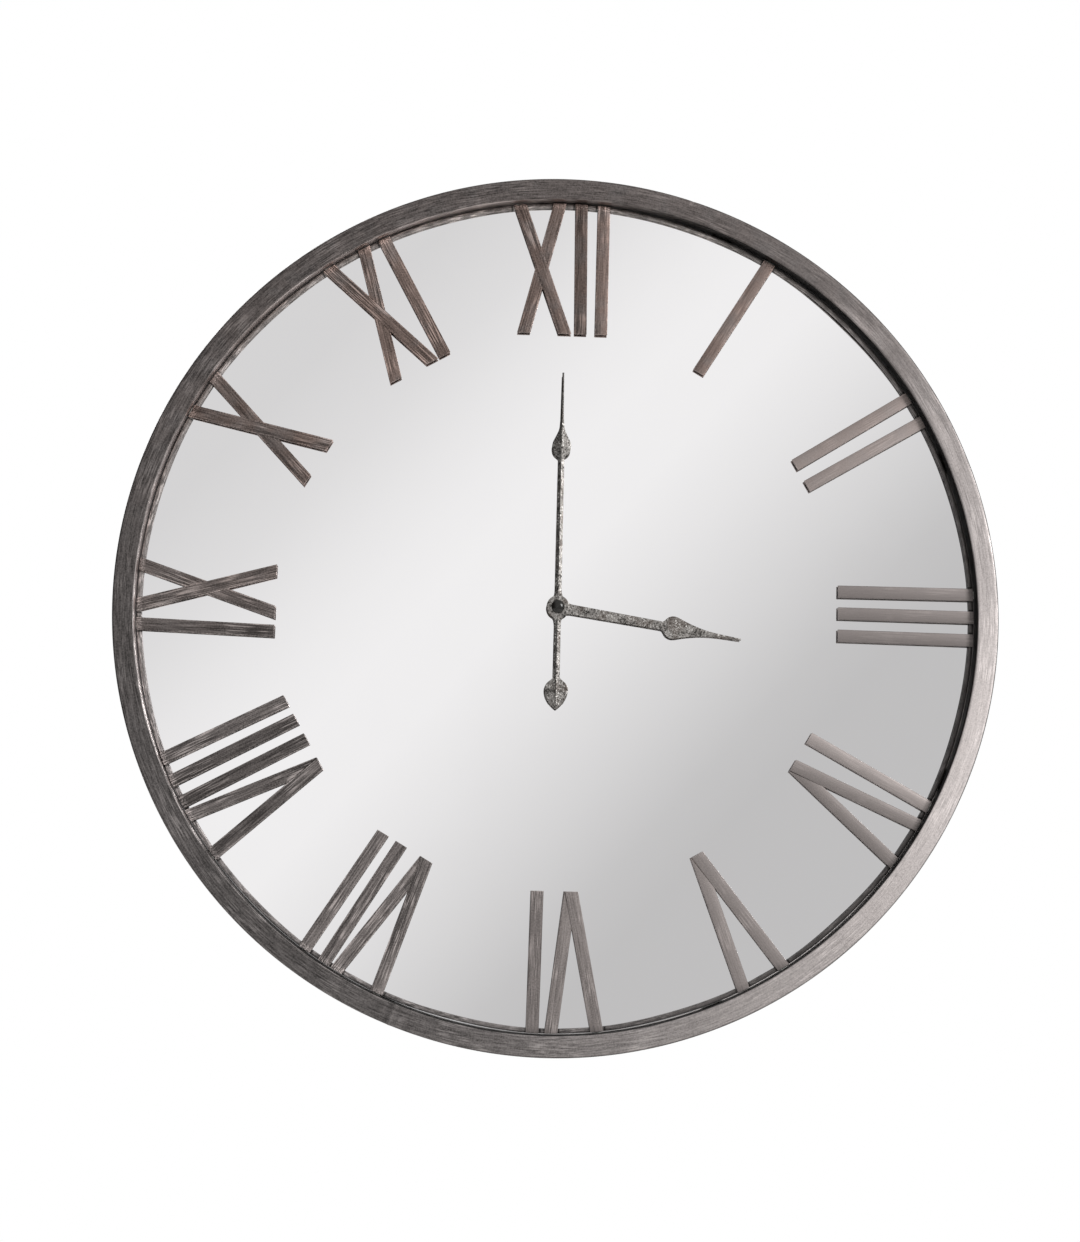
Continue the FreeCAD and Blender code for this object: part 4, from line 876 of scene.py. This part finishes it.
@dataclass
class Numerals:
    """The welded Roman numerals, each letter of flat steel strips.

    Attributes:
        width: The strips' width.
        length: From the ring's outer edge to the strips' inner ends.
        v_mouth: The distance between the outer ends of a V's strips.
        v_foot: The distance between their inner ends.
        x_spread: The distance between the ends of an X's strips.
        edge: The radius of the strips' edges.
        letters: The letters of each hour, clockwise.
    """

    width: float = 11.5 * MM
    length: float = 124.5 * MM
    v_mouth: float = 41.0 * MM
    v_foot: float = 1.0 * MM
    x_spread: float = 38.0 * MM
    edge: float = 0.35 * MM
    letters: dict[int, tuple[Letter, ...]] = field(default_factory=lambda: {
        1: (Letter("I", 0.0, -3.0, 0.93),),
        2: (Letter("I", -17.0, -12.0, 0.96), Letter("I", 8.5, 10.5, 0.96)),
        3: (Letter("I", -22.0, -21.5, 0.69), Letter("I", -1.0, -1.5, 0.69),
            Letter("I", 20.0, 19.0, 0.70)),
        4: (Letter("I", -20.0, -17.0, 1.09), Letter("V", 19.5, 12.0, 0.79)),
        5: (Letter("V", -1.0, -2.0, 1.00),),
        6: (Letter("V", -23.0, -17.5, 1.04), Letter("I", 14.0, 12.5, 0.94)),
        7: (Letter("V", -22.0, -18.0, 0.87), Letter("I", 11.5, 8.0, 0.83),
            Letter("I", 32.5, 27.0, 0.98)),
        8: (Letter("V", -28.5, -22.5, 0.81), Letter("I", 5.5, 2.5, 0.64),
            Letter("I", 26.5, 22.5, 0.74), Letter("I", 48.0, 41.5, 0.96)),
        9: (Letter("I", -25.5, -29.0, 0.82), Letter("X", 10.5, 7.0, 0.97)),
        10: (Letter("X", -2.0, -1.0, 0.99),),
        11: (Letter("X", -16.0, -11.0, 1.08), Letter("I", 23.5, 21.0, 1.08)),
        12: (Letter("X", -25.5, -18.5, 0.95), Letter("I", 13.5, 15.0, 0.68),
             Letter("I", 34.5, 34.0, 1.02)),
    })

    def strokes(self, letter: Letter) -> list[tuple[float, float]]:
        """The outer and inner offsets of a letter's strips, in metres."""
        outer, inner = letter.outer * MM, letter.inner * MM
        if letter.kind == "I":
            return [(outer, inner)]
        if letter.kind == "V":
            return [(outer - self.v_mouth / 2, inner - self.v_foot / 2),
                    (outer + self.v_mouth / 2, inner + self.v_foot / 2)]
        return [(outer - self.x_spread / 2, inner + self.x_spread / 2),
                (outer + self.x_spread / 2, inner - self.x_spread / 2)]

    def contacts(self) -> list[float]:
        """The angles where the strips meet the ring, in order: each offset's arc sine, by its hour."""
        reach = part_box("numeral_ring")[1].x
        return sorted(
            30 * hour + math.degrees(math.asin(outer / reach))
            for hour, letters in self.letters.items() for letter in letters
            for outer, _ in self.strokes(letter)
        )

    def strip_lines(self, outer: float, inner: float) -> tuple[np.ndarray, np.ndarray]:
        """Where a strip's long lines start, and which way they run.

        Args:
            outer: The centre line's offset at the ring.
            inner: Its offset at the inner end.

        Returns:
            The starts, one for each place across the strip, and the unit direction.
        """
        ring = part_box("numeral_ring")[1].x
        slope = (outer - inner) / self.length
        way = np.array([slope, 1.0]) / math.hypot(slope, 1.0)
        section = rounded_section(self.width, 1.0, self.edge)[:, 0]
        inner_ends = inner + section * math.hypot(slope, 1.0)
        return np.stack([inner_ends, np.full(section.size, ring - self.length)], axis=-1), way

    @staticmethod
    def run_to(starts: np.ndarray, way: np.ndarray, point: np.ndarray, edge: np.ndarray) -> np.ndarray:
        """How far each line runs before it crosses an edge: the cross products' quotient.

        Args:
            starts: Where the lines start.
            way: Which way they run.
            point: A point on the edge.
            edge: Which way the edge runs.

        Returns:
            The distances.
        """
        away = point - starts
        return (away[:, 0] * edge[1] - away[:, 1] * edge[0]) / (way[0] * edge[1] - way[1] * edge[0])

    def runs(self, letter: Letter) -> list[tuple[np.ndarray, np.ndarray, np.ndarray, np.ndarray]]:
        """The flat bars of a letter.

        The first strip is whole. The second is cut where the first one is in its way, as it is welded.

        Args:
            letter: The letter.

        Returns:
            The bars: (starts, direction, first distances, last distances).
        """
        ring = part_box("numeral_ring")[1].x
        bars = []
        for k, (outer, inner) in enumerate(self.strokes(letter)):
            starts, way = self.strip_lines(outer, inner)
            onto = starts @ way
            end = -onto + np.sqrt(onto ** 2 - (starts ** 2).sum(axis=1) + ring ** 2)
            zero = np.zeros(len(starts))
            if k == 0:
                first_starts, first_way = starts, way
                bars.append((starts, way, zero, end))
                continue
            sides = [self.run_to(starts, way, first_starts[i], first_way)
                     for i in (first_starts[:, 0].argmin(), first_starts[:, 0].argmax())]
            near, far = np.minimum(*sides), np.maximum(*sides)
            if letter.kind == "X":
                bars.append((starts, way, zero, near))
            bars.append((starts, way, np.maximum(far, 0.0), end))
        return bars

    def bar(self, hour: int, run: tuple[np.ndarray, np.ndarray, np.ndarray, np.ndarray], worn: float,
            seed: int) -> Shell:
        """One flat bar as a closed shell, tilted and warped a little as hand-set bars are.

        Rings of the section run from end to end. The first and last ring are drawn in by the edge's
        radius, and each end closes on the strip's middle. The warp is a sine that fades outwards.

        Args:
            hour: The hour that it stands at.
            run: Its lines, as in runs.
            worn: How bright its metal is.
            seed: Chooses its tilt, its warp and its marks.

        Returns:
            The shell.
        """
        starts, way, first, last = run
        low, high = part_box(f"numeral_{hour:02d}")
        section = rounded_section(self.width, high.y - low.y, self.edge)
        rng = np.random.default_rng(seed)
        t = np.concatenate([[0.0, 0.0, 0.0], np.linspace(0, 1, 26), [1.0, 1.0, 1.0]])[:, None]
        inset = np.concatenate([[1.0, 0.3], np.zeros(28), [0.3, 1.0]])[:, None]
        pull = np.zeros_like(t)
        pull[2:4, 0] = 0.2 * MM, 0.8 * MM
        pull[-4:-2, 0] = -0.8 * MM, -0.2 * MM
        reach = first + t * (last - first) + pull
        middle = starts.mean(axis=0)
        across = starts[:, 0] - middle[0]
        closed = (inset >= 1.0)
        narrow = np.where(closed, 0.0, 1.0 - inset * self.edge / (self.width / 2))
        sideways = middle[0] + across * narrow + way[0] * reach
        outwards = middle[1] + way[1] * reach
        depth = section[None, :, 1]
        half = (high.y - low.y) / 2
        depth = half + (depth - half) * np.where(closed, 0.0, 1.0 - inset * self.edge / half)
        tilt = rng.normal(0, 0.010)
        warp = 0.25 * MM * np.sin(math.pi * t * rng.uniform(0.7, 1.6) + rng.uniform(0, 6)) * (1 - t)
        depth = low.y + depth + across * tilt + warp
        x, z = on_dial(sideways, outwards, 30 * hour)
        along = rng.uniform(0, 40) + reach.mean(axis=1)
        tone = np.full(t.shape, worn * rng.uniform(0.96, 1.04))
        # The inner end is worn bright and painted lighter, which lifts the shade on its end face.
        tone[:3] *= 1.3
        points = np.stack(np.broadcast_arrays(x, depth, z), axis=-1)
        return Shell(points, across=section[:, 0], along=along, tone=tone)

    def build(self) -> None:
        """Makes each hour's letters and hides the plain plates that they stand for."""
        material = LETTER_FINISH.build()
        for hour, letters in self.letters.items():
            runs = [(run, letter.worn) for letter in letters for run in self.runs(letter)]
            shells = [self.bar(hour, run, worn, 100 * hour + k) for k, (run, worn) in enumerate(runs)]
            fit_piece(f"letters_{hour:02d}", shells, material, "clock", f"numeral_{hour:02d}")


@dataclass
class Ring:
    """The thin hand-bent ring that carries the numerals.

    Attributes:
        numerals: What it carries, which holds it still where they meet.
        width: How wide it is, from the outside in.
        edge: The radius of its edges.
        steps: How many sections go round it.
        bows: How far it bends between strips at some angles: (angle, forward in millimetres).
    """

    numerals: Numerals
    width: float = 4.0 * MM
    edge: float = 0.5 * MM
    steps: int = 3600
    bows: tuple[tuple[float, float], ...] = (
        (0, 0.2), (20, 0.3), (45, 2.0), (75, 0.4), (100, 0.6), (137, 2.2), (163, 1.8), (193, 2.0),
        (220, 0.6), (250, 0.3), (290, 0.4), (330, 0.3), (360, 0.2))

    def strip_shadows(self, degrees: np.ndarray) -> np.ndarray:
        """The ring's tone: painted shadows beside each strip, a dark Gaussian on each side of it, deepest
        on the anticlockwise side.

        Args:
            degrees: Angles on the dial.

        Returns:
            The tone at each.
        """
        tone = np.ones_like(degrees)
        for held in self.numerals.contacts():
            away = (degrees - held + 180) % 360 - 180
            tone = tone - 0.9 * bell(away + 1.03, 0.13) - 0.5 * bell(away - 0.98, 0.10)
        return np.clip(tone, 0.05, 1.0)

    def slack(self, degrees: np.ndarray) -> np.ndarray:
        """How freely the ring can bend: 0 where a strip holds it, up to 1 midway along a long gap.

        It is the squared sine of the place in each gap, times the gap's share of 25 degrees.

        Args:
            degrees: Angles on the dial, in order.

        Returns:
            The slack at each.
        """
        held = np.sort(np.array(self.numerals.contacts()) % 360)
        around = np.concatenate([[held[-1] - 360], held, [held[0] + 360]])
        i = np.clip(np.searchsorted(around, degrees, side="right") - 1, 0, len(around) - 2)
        gap = around[i + 1] - around[i]
        return np.sin(math.pi * (degrees - around[i]) / gap) ** 2 * np.clip(gap / 25, 0, 1)

    def shape(self) -> Shell:
        """The ring: its section goes round the axis, and bends in and forward in each gap."""
        low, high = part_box("numeral_ring")
        section = rounded_section(self.width, high.y - low.y, self.edge, 3)
        turn = np.linspace(0, 2 * math.pi, self.steps, endpoint=False)
        degrees = np.degrees(turn)
        slack = self.slack(degrees)
        bow = np.interp(degrees, *np.array(self.bows).T)
        inwards = (slack * (0.35 + 0.25 * bow) * MM)[:, None]
        radius = high.x - self.width / 2 + section[None, :, 0] - inwards
        depth = low.y + section[None, :, 1] - (slack * bow * MM)[:, None]
        return hoop(radius, depth, turn, self.strip_shadows(degrees)[:, None])

    def build(self) -> None:
        """Makes the ring and hides the plain one."""
        fit_piece("ring_bent", [self.shape()], RING_FINISH.build(), "clock", "numeral_ring")


# ---------------------------------------------------------------- the hands
PLATE = 1.0 * MM
RIB_SLANT, RIB_SPACING = 0.55, 4.6 * MM


@dataclass
class Hand:
    """A cast hand with a raised centre line.

    Attributes:
        name: The new piece's name.
        node: The plain hand that it stands for.
        body: The body that it rides on.
        angle: Where it points.
        outline: (distance along, half width) from the tail's tip to the point, in millimetres.
        ridge: (distance along, half width of the raised line, its height) in millimetres.
        painted_facet_shades: Painted shade on the hand: (distance along, how bright left of the ridge is,
            how bright right of it is), the left facet painted darker than the right.
        leaf: Where a pressed leaf begins and ends, if there is one.
        rows: How many sections it has.
    """

    name: str
    node: str
    body: str
    angle: float
    outline: tuple[tuple[float, float], ...]
    ridge: tuple[tuple[float, float, float], ...]
    painted_facet_shades: tuple[tuple[float, float, float], ...]
    leaf: tuple[float, float] | None = None
    rows: int = 700

    def veins(self, along: np.ndarray, across: np.ndarray) -> np.ndarray:
        """The relief of the pressed leaf: ribs that slant back from a middle rib.

        Each rib is the crest of a cosine in the distance along plus about half of the distance
        across. They fade towards the leaf's two ends.

        Args:
            along: The distance along the hand.
            across: The distance from its centre line.

        Returns:
            The relief, from 0 to 1.
        """
        if self.leaf is None:
            return np.zeros_like(across)
        start, end = self.leaf[0] * MM, self.leaf[1] * MM
        ribs = np.cos(2 * math.pi * (along + RIB_SLANT * np.abs(across)) / RIB_SPACING)
        fade = np.clip(np.minimum(along - start, end - along) / (3 * MM), 0, 1)
        return np.maximum(np.clip(ribs, 0, 1), bell(across, 0.9 * MM)) * fade

    def half_width(self, along: np.ndarray) -> np.ndarray:
        """The half width: straight between the outline's points, and averaged over 1.2 mm.

        Args:
            along: Distances along the hand.

        Returns:
            The half width at each.
        """
        knots = np.array(self.outline) * MM
        fine = np.interp(along[:, None] + np.linspace(-0.6, 0.6, 7) * MM, knots[:, 0], knots[:, 1])
        return fine.mean(axis=1)

    def shape(self) -> Shell:
        """The hand: each row is a section with a flat back, low sides and a roof-shaped middle.

        The roof falls in a straight line from the centre to the raised line's half width.
        """
        low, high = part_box(self.node)
        ends = self.outline[0][0] * MM, self.outline[-1][0] * MM
        along = np.linspace(*ends, self.rows)
        half = self.half_width(along)
        marks = np.array(self.ridge) * MM
        roof_half = np.interp(along, marks[:, 0], marks[:, 1])
        roof = np.interp(along, marks[:, 0], marks[:, 2])
        share = np.linspace(-1, 1, 33)
        front_x = half[:, None] * share
        round_off = 0.30 * MM * np.clip((np.abs(share) - 0.9) / 0.1, 0, 1) ** 2
        lift = roof[:, None] * np.clip(1 - np.abs(front_x) / roof_half[:, None], 0, 1)
        lift = lift + 0.35 * MM * self.veins(along[:, None], front_x) * (1 - np.abs(share)) ** 0.5
        front_y = high.y - PLATE - lift + round_off
        back_x = half[:, None] * share[::-4]
        back_y = np.full_like(back_x, high.y)
        x = np.concatenate([front_x, back_x], axis=1)
        y = np.maximum(np.concatenate([front_y, back_y], axis=1), low.y - 0.4 * MM)
        x = np.pad(x, ((1, 1), (0, 0)))
        y = np.pad(y, ((1, 1), (0, 0)), constant_values=high.y - PLATE / 2)
        along = np.concatenate([along[:1], along, along[-1:]])
        world_x, world_z = on_dial(x, np.broadcast_to(along[:, None], x.shape), self.angle)
        # Painted shade: the facet left of the ridge is darker than the one right of it.
        painted_facet_shades = np.array(self.painted_facet_shades)
        left, right = (np.interp(along / MM, painted_facet_shades[:, 0], painted_facet_shades[:, k])[:, None] for k in (1, 2))
        rightness = np.clip(0.5 + x / (0.6 * MM), 0, 1)
        return Shell(np.stack([world_x, y, world_z], axis=-1), tone=left + (right - left) * rightness)

    def build(self, material: bpy.types.Material) -> None:
        """Makes the hand and hides the plain one."""
        fit_piece(self.name, [self.shape()], material, self.body, self.node)


def hub_outline(radius: float, shaft: float) -> list[tuple[float, float]]:
    """The half width of a round hub that a shaft leaves on both sides: a circle, then a small fillet.

    Args:
        radius: The hub's radius in millimetres.
        shaft: The shaft's half width.

    Returns:
        Points (distance along, half width).
    """
    turn = np.linspace(math.pi * 0.86, math.pi * 0.14, 31)
    circle = [(radius * math.cos(t), radius * math.sin(t)) for t in turn]
    fillet = [(radius * 1.0, shaft + 1.0), (radius * 1.25, shaft + 0.3)]
    return [(-a, b) for a, b in reversed(fillet)] + circle + fillet


MINUTE_HAND = Hand(
    "hand_long", "minute_hand", "minute", 0.0,
    ((-92.8, 0.4), (-91.5, 2.2), (-89.2, 4.6), (-86.5, 7.2), (-82.0, 9.6), (-78.0, 10.6), (-75.5, 10.8),
     (-73.0, 10.5), (-70.0, 8.9), (-68.0, 6.8), (-66.0, 4.3), (-64.2, 3.0), (-16.0, 2.9),
     *hub_outline(10.3, 2.9),
     (16.0, 2.9), (138.0, 2.7), (139.0, 3.6), (140.8, 6.0), (143.2, 7.8), (146.5, 8.6), (149.0, 8.7),
     (152.0, 8.0), (155.0, 6.6), (159.0, 4.6), (163.0, 2.9), (168.0, 1.9), (176.0, 1.3), (217.0, 0.8)),
    ((-92.8, 2.4, 0.10), (-88.0, 4.0, 0.35), (-66.0, 2.6, 0.75), (-14.0, 2.9, 0.80), (-9.0, 2.9, 0.10),
     (9.0, 2.9, 0.10), (14.0, 2.9, 0.80), (136.0, 2.7, 0.80), (139.0, 6.0, 1.1), (146.0, 8.7, 1.2),
     (151.0, 8.0, 1.2), (158.0, 4.6, 0.9), (167.0, 1.9, 0.6), (175.0, 1.3, 0.5), (216.5, 0.8, 0.3)),
    ((-92.8, 0.70, 0.70), (-70.0, 0.66, 0.70), (-62.0, 0.45, 0.85), (-15.0, 0.40, 0.85),
     (-9.0, 0.80, 0.80), (9.0, 0.80, 0.80), (15.0, 0.40, 0.85), (134.0, 0.40, 0.85),
     (150.0, 0.40, 0.78), (163.0, 0.28, 0.6), (172.0, 0.22, 0.30), (217.0, 0.18, 0.20)),
    leaf=(-91.0, -66.0),
)
HOUR_HAND = Hand(
    "hand_short", "hour_hand", "hour", 98.6,
    ((-9.4, 0.6),
     *((9.5 * math.cos(t), 9.5 * math.sin(t)) for t in np.linspace(math.pi * 0.97, math.pi * 0.18, 28)),
     (9.8, 4.9), (12.0, 4.5), (96.0, 3.8), (97.5, 4.8), (99.0, 7.0), (101.0, 8.9), (104.0, 10.1),
     (106.5, 10.3), (110.0, 9.6), (115.0, 7.8), (120.0, 6.2), (125.0, 4.9), (130.0, 3.7), (136.0, 2.7),
     (143.0, 1.9), (150.0, 1.4), (168.5, 0.9)),
    ((-9.4, 3.0, 0.05), (9.0, 3.0, 0.05), (14.0, 4.4, 0.35), (96.0, 3.8, 0.35), (103.0, 8.5, 0.45),
     (112.0, 8.0, 0.45), (125.0, 4.9, 0.4), (140.0, 2.0, 0.4), (168.5, 0.9, 0.25)),
    ((-9.4, 0.85, 0.85), (12.0, 0.74, 0.92), (95.0, 0.70, 0.92), (110.0, 0.68, 0.80),
     (135.0, 0.70, 0.80), (168.5, 0.60, 0.70)),
)


@dataclass
class Cap:
    """The domed nut in the middle of the hands.

    Attributes:
        skirt: The height of its straight side.
        columns: How many sections go round it.
    """

    skirt: float = 1.0 * MM
    columns: int = 96

    def build(self) -> None:
        """Makes the cap: a quarter ellipse above a short straight side, turned about the hands' axis."""
        low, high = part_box("cap_nut")
        reach = (high.x - low.x) / 2
        turn = np.linspace(0, math.pi / 2, 22)
        top = high.y - self.skirt
        rise = top - low.y
        radius = np.concatenate([[0.0], [reach - 0.3 * MM], [reach], reach * np.cos(turn)])
        depth = np.concatenate([[high.y], [high.y], [high.y - 0.3 * MM], top - rise * np.sin(turn)])
        around = np.linspace(0, 2 * math.pi, self.columns, endpoint=False)
        x, z = radius[:, None] * np.cos(around), radius[:, None] * np.sin(around)
        points = np.stack([x, np.broadcast_to(depth[:, None], x.shape), z], axis=-1)
        fit_piece("cap_dome", [Shell(points)], CAP_FINISH.build(), "minute", "cap_nut")


# ---------------------------------------------------------------- what keeps its CAD shape
def dress_nodes() -> None:
    """Gives the mirror and every plain part that keeps its shape a finish of its own."""
    dress(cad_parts["mirror_glass"], MIRROR_FINISH.build())
    for finish, nodes in NODE_FINISHES.items():
        material = finish.build()
        for node in nodes:
            dress(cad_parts[node], material)
        LOG.info("%s: %d parts", finish.name, len(nodes))


# ---------------------------------------------------------------- studio
# The room's shade by slanted distance: how much each way counts, and where the middle lies.
SLANT = (1.337, 1.204, 0.62)
ROOM_SHADES = ((0.18, 0.700), (0.262, 0.768), (0.322, 0.847), (0.366, 0.893), (0.411, 0.920),
               (0.478, 0.912), (0.544, 0.833), (0.634, 0.698), (0.700, 0.588), (0.745, 0.552))


@dataclass
class Studio:
    """The floor, the light and the camera.

    Attributes:
        target: The point on the plane of the rim's face that the camera looks at.
        azimuth: How far the camera stands to the right of straight ahead, in degrees.
        elevation: How far it stands above the target, in degrees.
        roll: How far it is turned about its line of sight, in degrees.
        distance: From the target to the camera.
        lens: Its focal length in millimetres, for a film 36 mm wide.
        drop: How far the floor lies below the hands' axis.
    """

    target: tuple[float, float] = (-0.01610, -0.01442)
    azimuth: float = -1.59
    elevation: float = -7.61
    roll: float = 1.4
    distance: float = 1.801
    lens: float = 66.71
    drop: float = 1.35

    def camera(self) -> None:
        """Places the camera."""
        lens = bpy.data.cameras.new("camera")
        lens.sensor_fit = "HORIZONTAL"
        lens.sensor_width = 36.0
        lens.lens = self.lens
        lens.clip_end = 60.0
        holder = add_object("camera", lens)
        bpy.context.scene.camera = holder
        az, el, roll = (math.radians(a) for a in (self.azimuth, self.elevation, self.roll))
        back = Vector((math.sin(az) * math.cos(el), -math.cos(az) * math.cos(el), math.sin(el)))
        right = (-back).cross(Vector((0, 0, 1))).normalized()
        up = right.cross(-back)
        right, up = (right * math.cos(roll) + up * math.sin(roll),
                     up * math.cos(roll) - right * math.sin(roll))
        spot = Vector((self.target[0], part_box("rim_tube")[0].y, self.target[1]))
        turn = Matrix((right, up, back)).transposed().to_4x4()
        holder.matrix_world = Matrix.Translation(spot + back * self.distance) @ turn

    def floor(self) -> None:
        """A plain pale round floor, well below the clock."""
        mesh = bpy.data.meshes.new("floor")
        turn = np.linspace(0, 2 * math.pi, 64, endpoint=False)
        reach = 4.5
        points = np.stack([reach * np.cos(turn), reach * np.sin(turn), np.full(64, -self.drop)], axis=-1)
        mesh.from_pydata(points, [], [list(range(64))])
        floor = add_object("floor", mesh)
        sheet = Sheet("floor_pale")
        cloud = sheet.noise(sheet.place(), 3.0, 2.0)
        sheet.set("Base Color", sheet.blend(cloud, (0.84, 0.84, 0.83), (0.88, 0.88, 0.87)))
        sheet.set("Roughness", 0.9)
        dress(floor, sheet.material)

    def softbox(self, name: str, place: tuple[float, float, float], size: float, power: float) -> None:
        """A square area light that faces the middle of the clock.

        Args:
            name: Its name.
            place: Where it stands.
            size: The length of its sides.
            power: Its power in watts.
        """
        lamp = bpy.data.lights.new(name, "AREA")
        lamp.shape = "RECTANGLE"
        lamp.size, lamp.size_y = size, size
        lamp.energy = power
        holder = add_object(name, lamp)
        holder.location = place
        holder.rotation_euler = (-Vector(place)).to_track_quat("-Z", "Y").to_euler()

    def surroundings(self) -> None:
        """A white room with a long soft gradient in front of the clock, which the mirror shows.

        The shade depends on one slanted distance in the plane of the reflection: brightest in a band
        from lower left to upper right, a little darker above it and darker still below it. The room
        dims on the left.
        """
        world = bpy.data.worlds.new("studio")
        bpy.context.scene.world = world
        world.use_nodes = True
        room = Tree(world.node_tree)
        x, y, z = room.parts(room.make("TexCoord").outputs["Generated"])
        ahead = room.math("MAXIMUM", room.product(y, -1.0), 0.05)
        sideways, upwards = (room.math("DIVIDE", way, ahead) for way in (x, z))
        slant = room.less(room.product(sideways, SLANT[0]), room.product(upwards, SLANT[1]))
        shade = room.make("ValToRGB", room.total(slant, SLANT[2]))
        while len(shade.color_ramp.elements) < len(ROOM_SHADES):
            shade.color_ramp.elements.new(0.5)
        for element, (where, value) in zip(shade.color_ramp.elements, ROOM_SHADES):
            element.position = where
            element.color = (value, value, value, 1.0)
        light = room.make("Background", shade.outputs[0], room.spread(x, -0.75, -0.22, 0.10, 1.0))
        white = room.make("Background", (1.0, 1.0, 1.0))
        seen = room.make("LightPath").outputs["Is Camera Ray"]
        choose = room.make("MixShader", seen, light.outputs[0], white.outputs[0])
        room.make("OutputWorld", choose.outputs[0])

    def build(self) -> None:
        """Sets up the whole studio."""
        self.camera()
        self.floor()
        self.surroundings()
        self.softbox("key", (2.3, -2.4, 1.3), 1.2, 60.0)
        self.softbox("glint", (2.1, -2.0, 0.5), 0.22, 12.0)
        self.softbox("rear_fill", (-1.6, 2.6, 1.6), 1.8, 60.0)
        bpy.context.scene.view_settings.view_transform = "Standard"
        LOG.info("studio ready")


def main() -> None:
    """Builds the clock's looks in order."""
    logging.basicConfig(level=logging.INFO, format="%(name)s %(message)s")
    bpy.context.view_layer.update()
    Studio().build()
    dress_nodes()
    Rim().build()
    numerals = Numerals()
    numerals.build()
    Ring(numerals).build()
    pewter = HAND_FINISH.build()
    MINUTE_HAND.build(pewter)
    HOUR_HAND.build(pewter)
    Cap().build()
    bpy.context.view_layer.update()


if __name__ == "__main__":
    main()
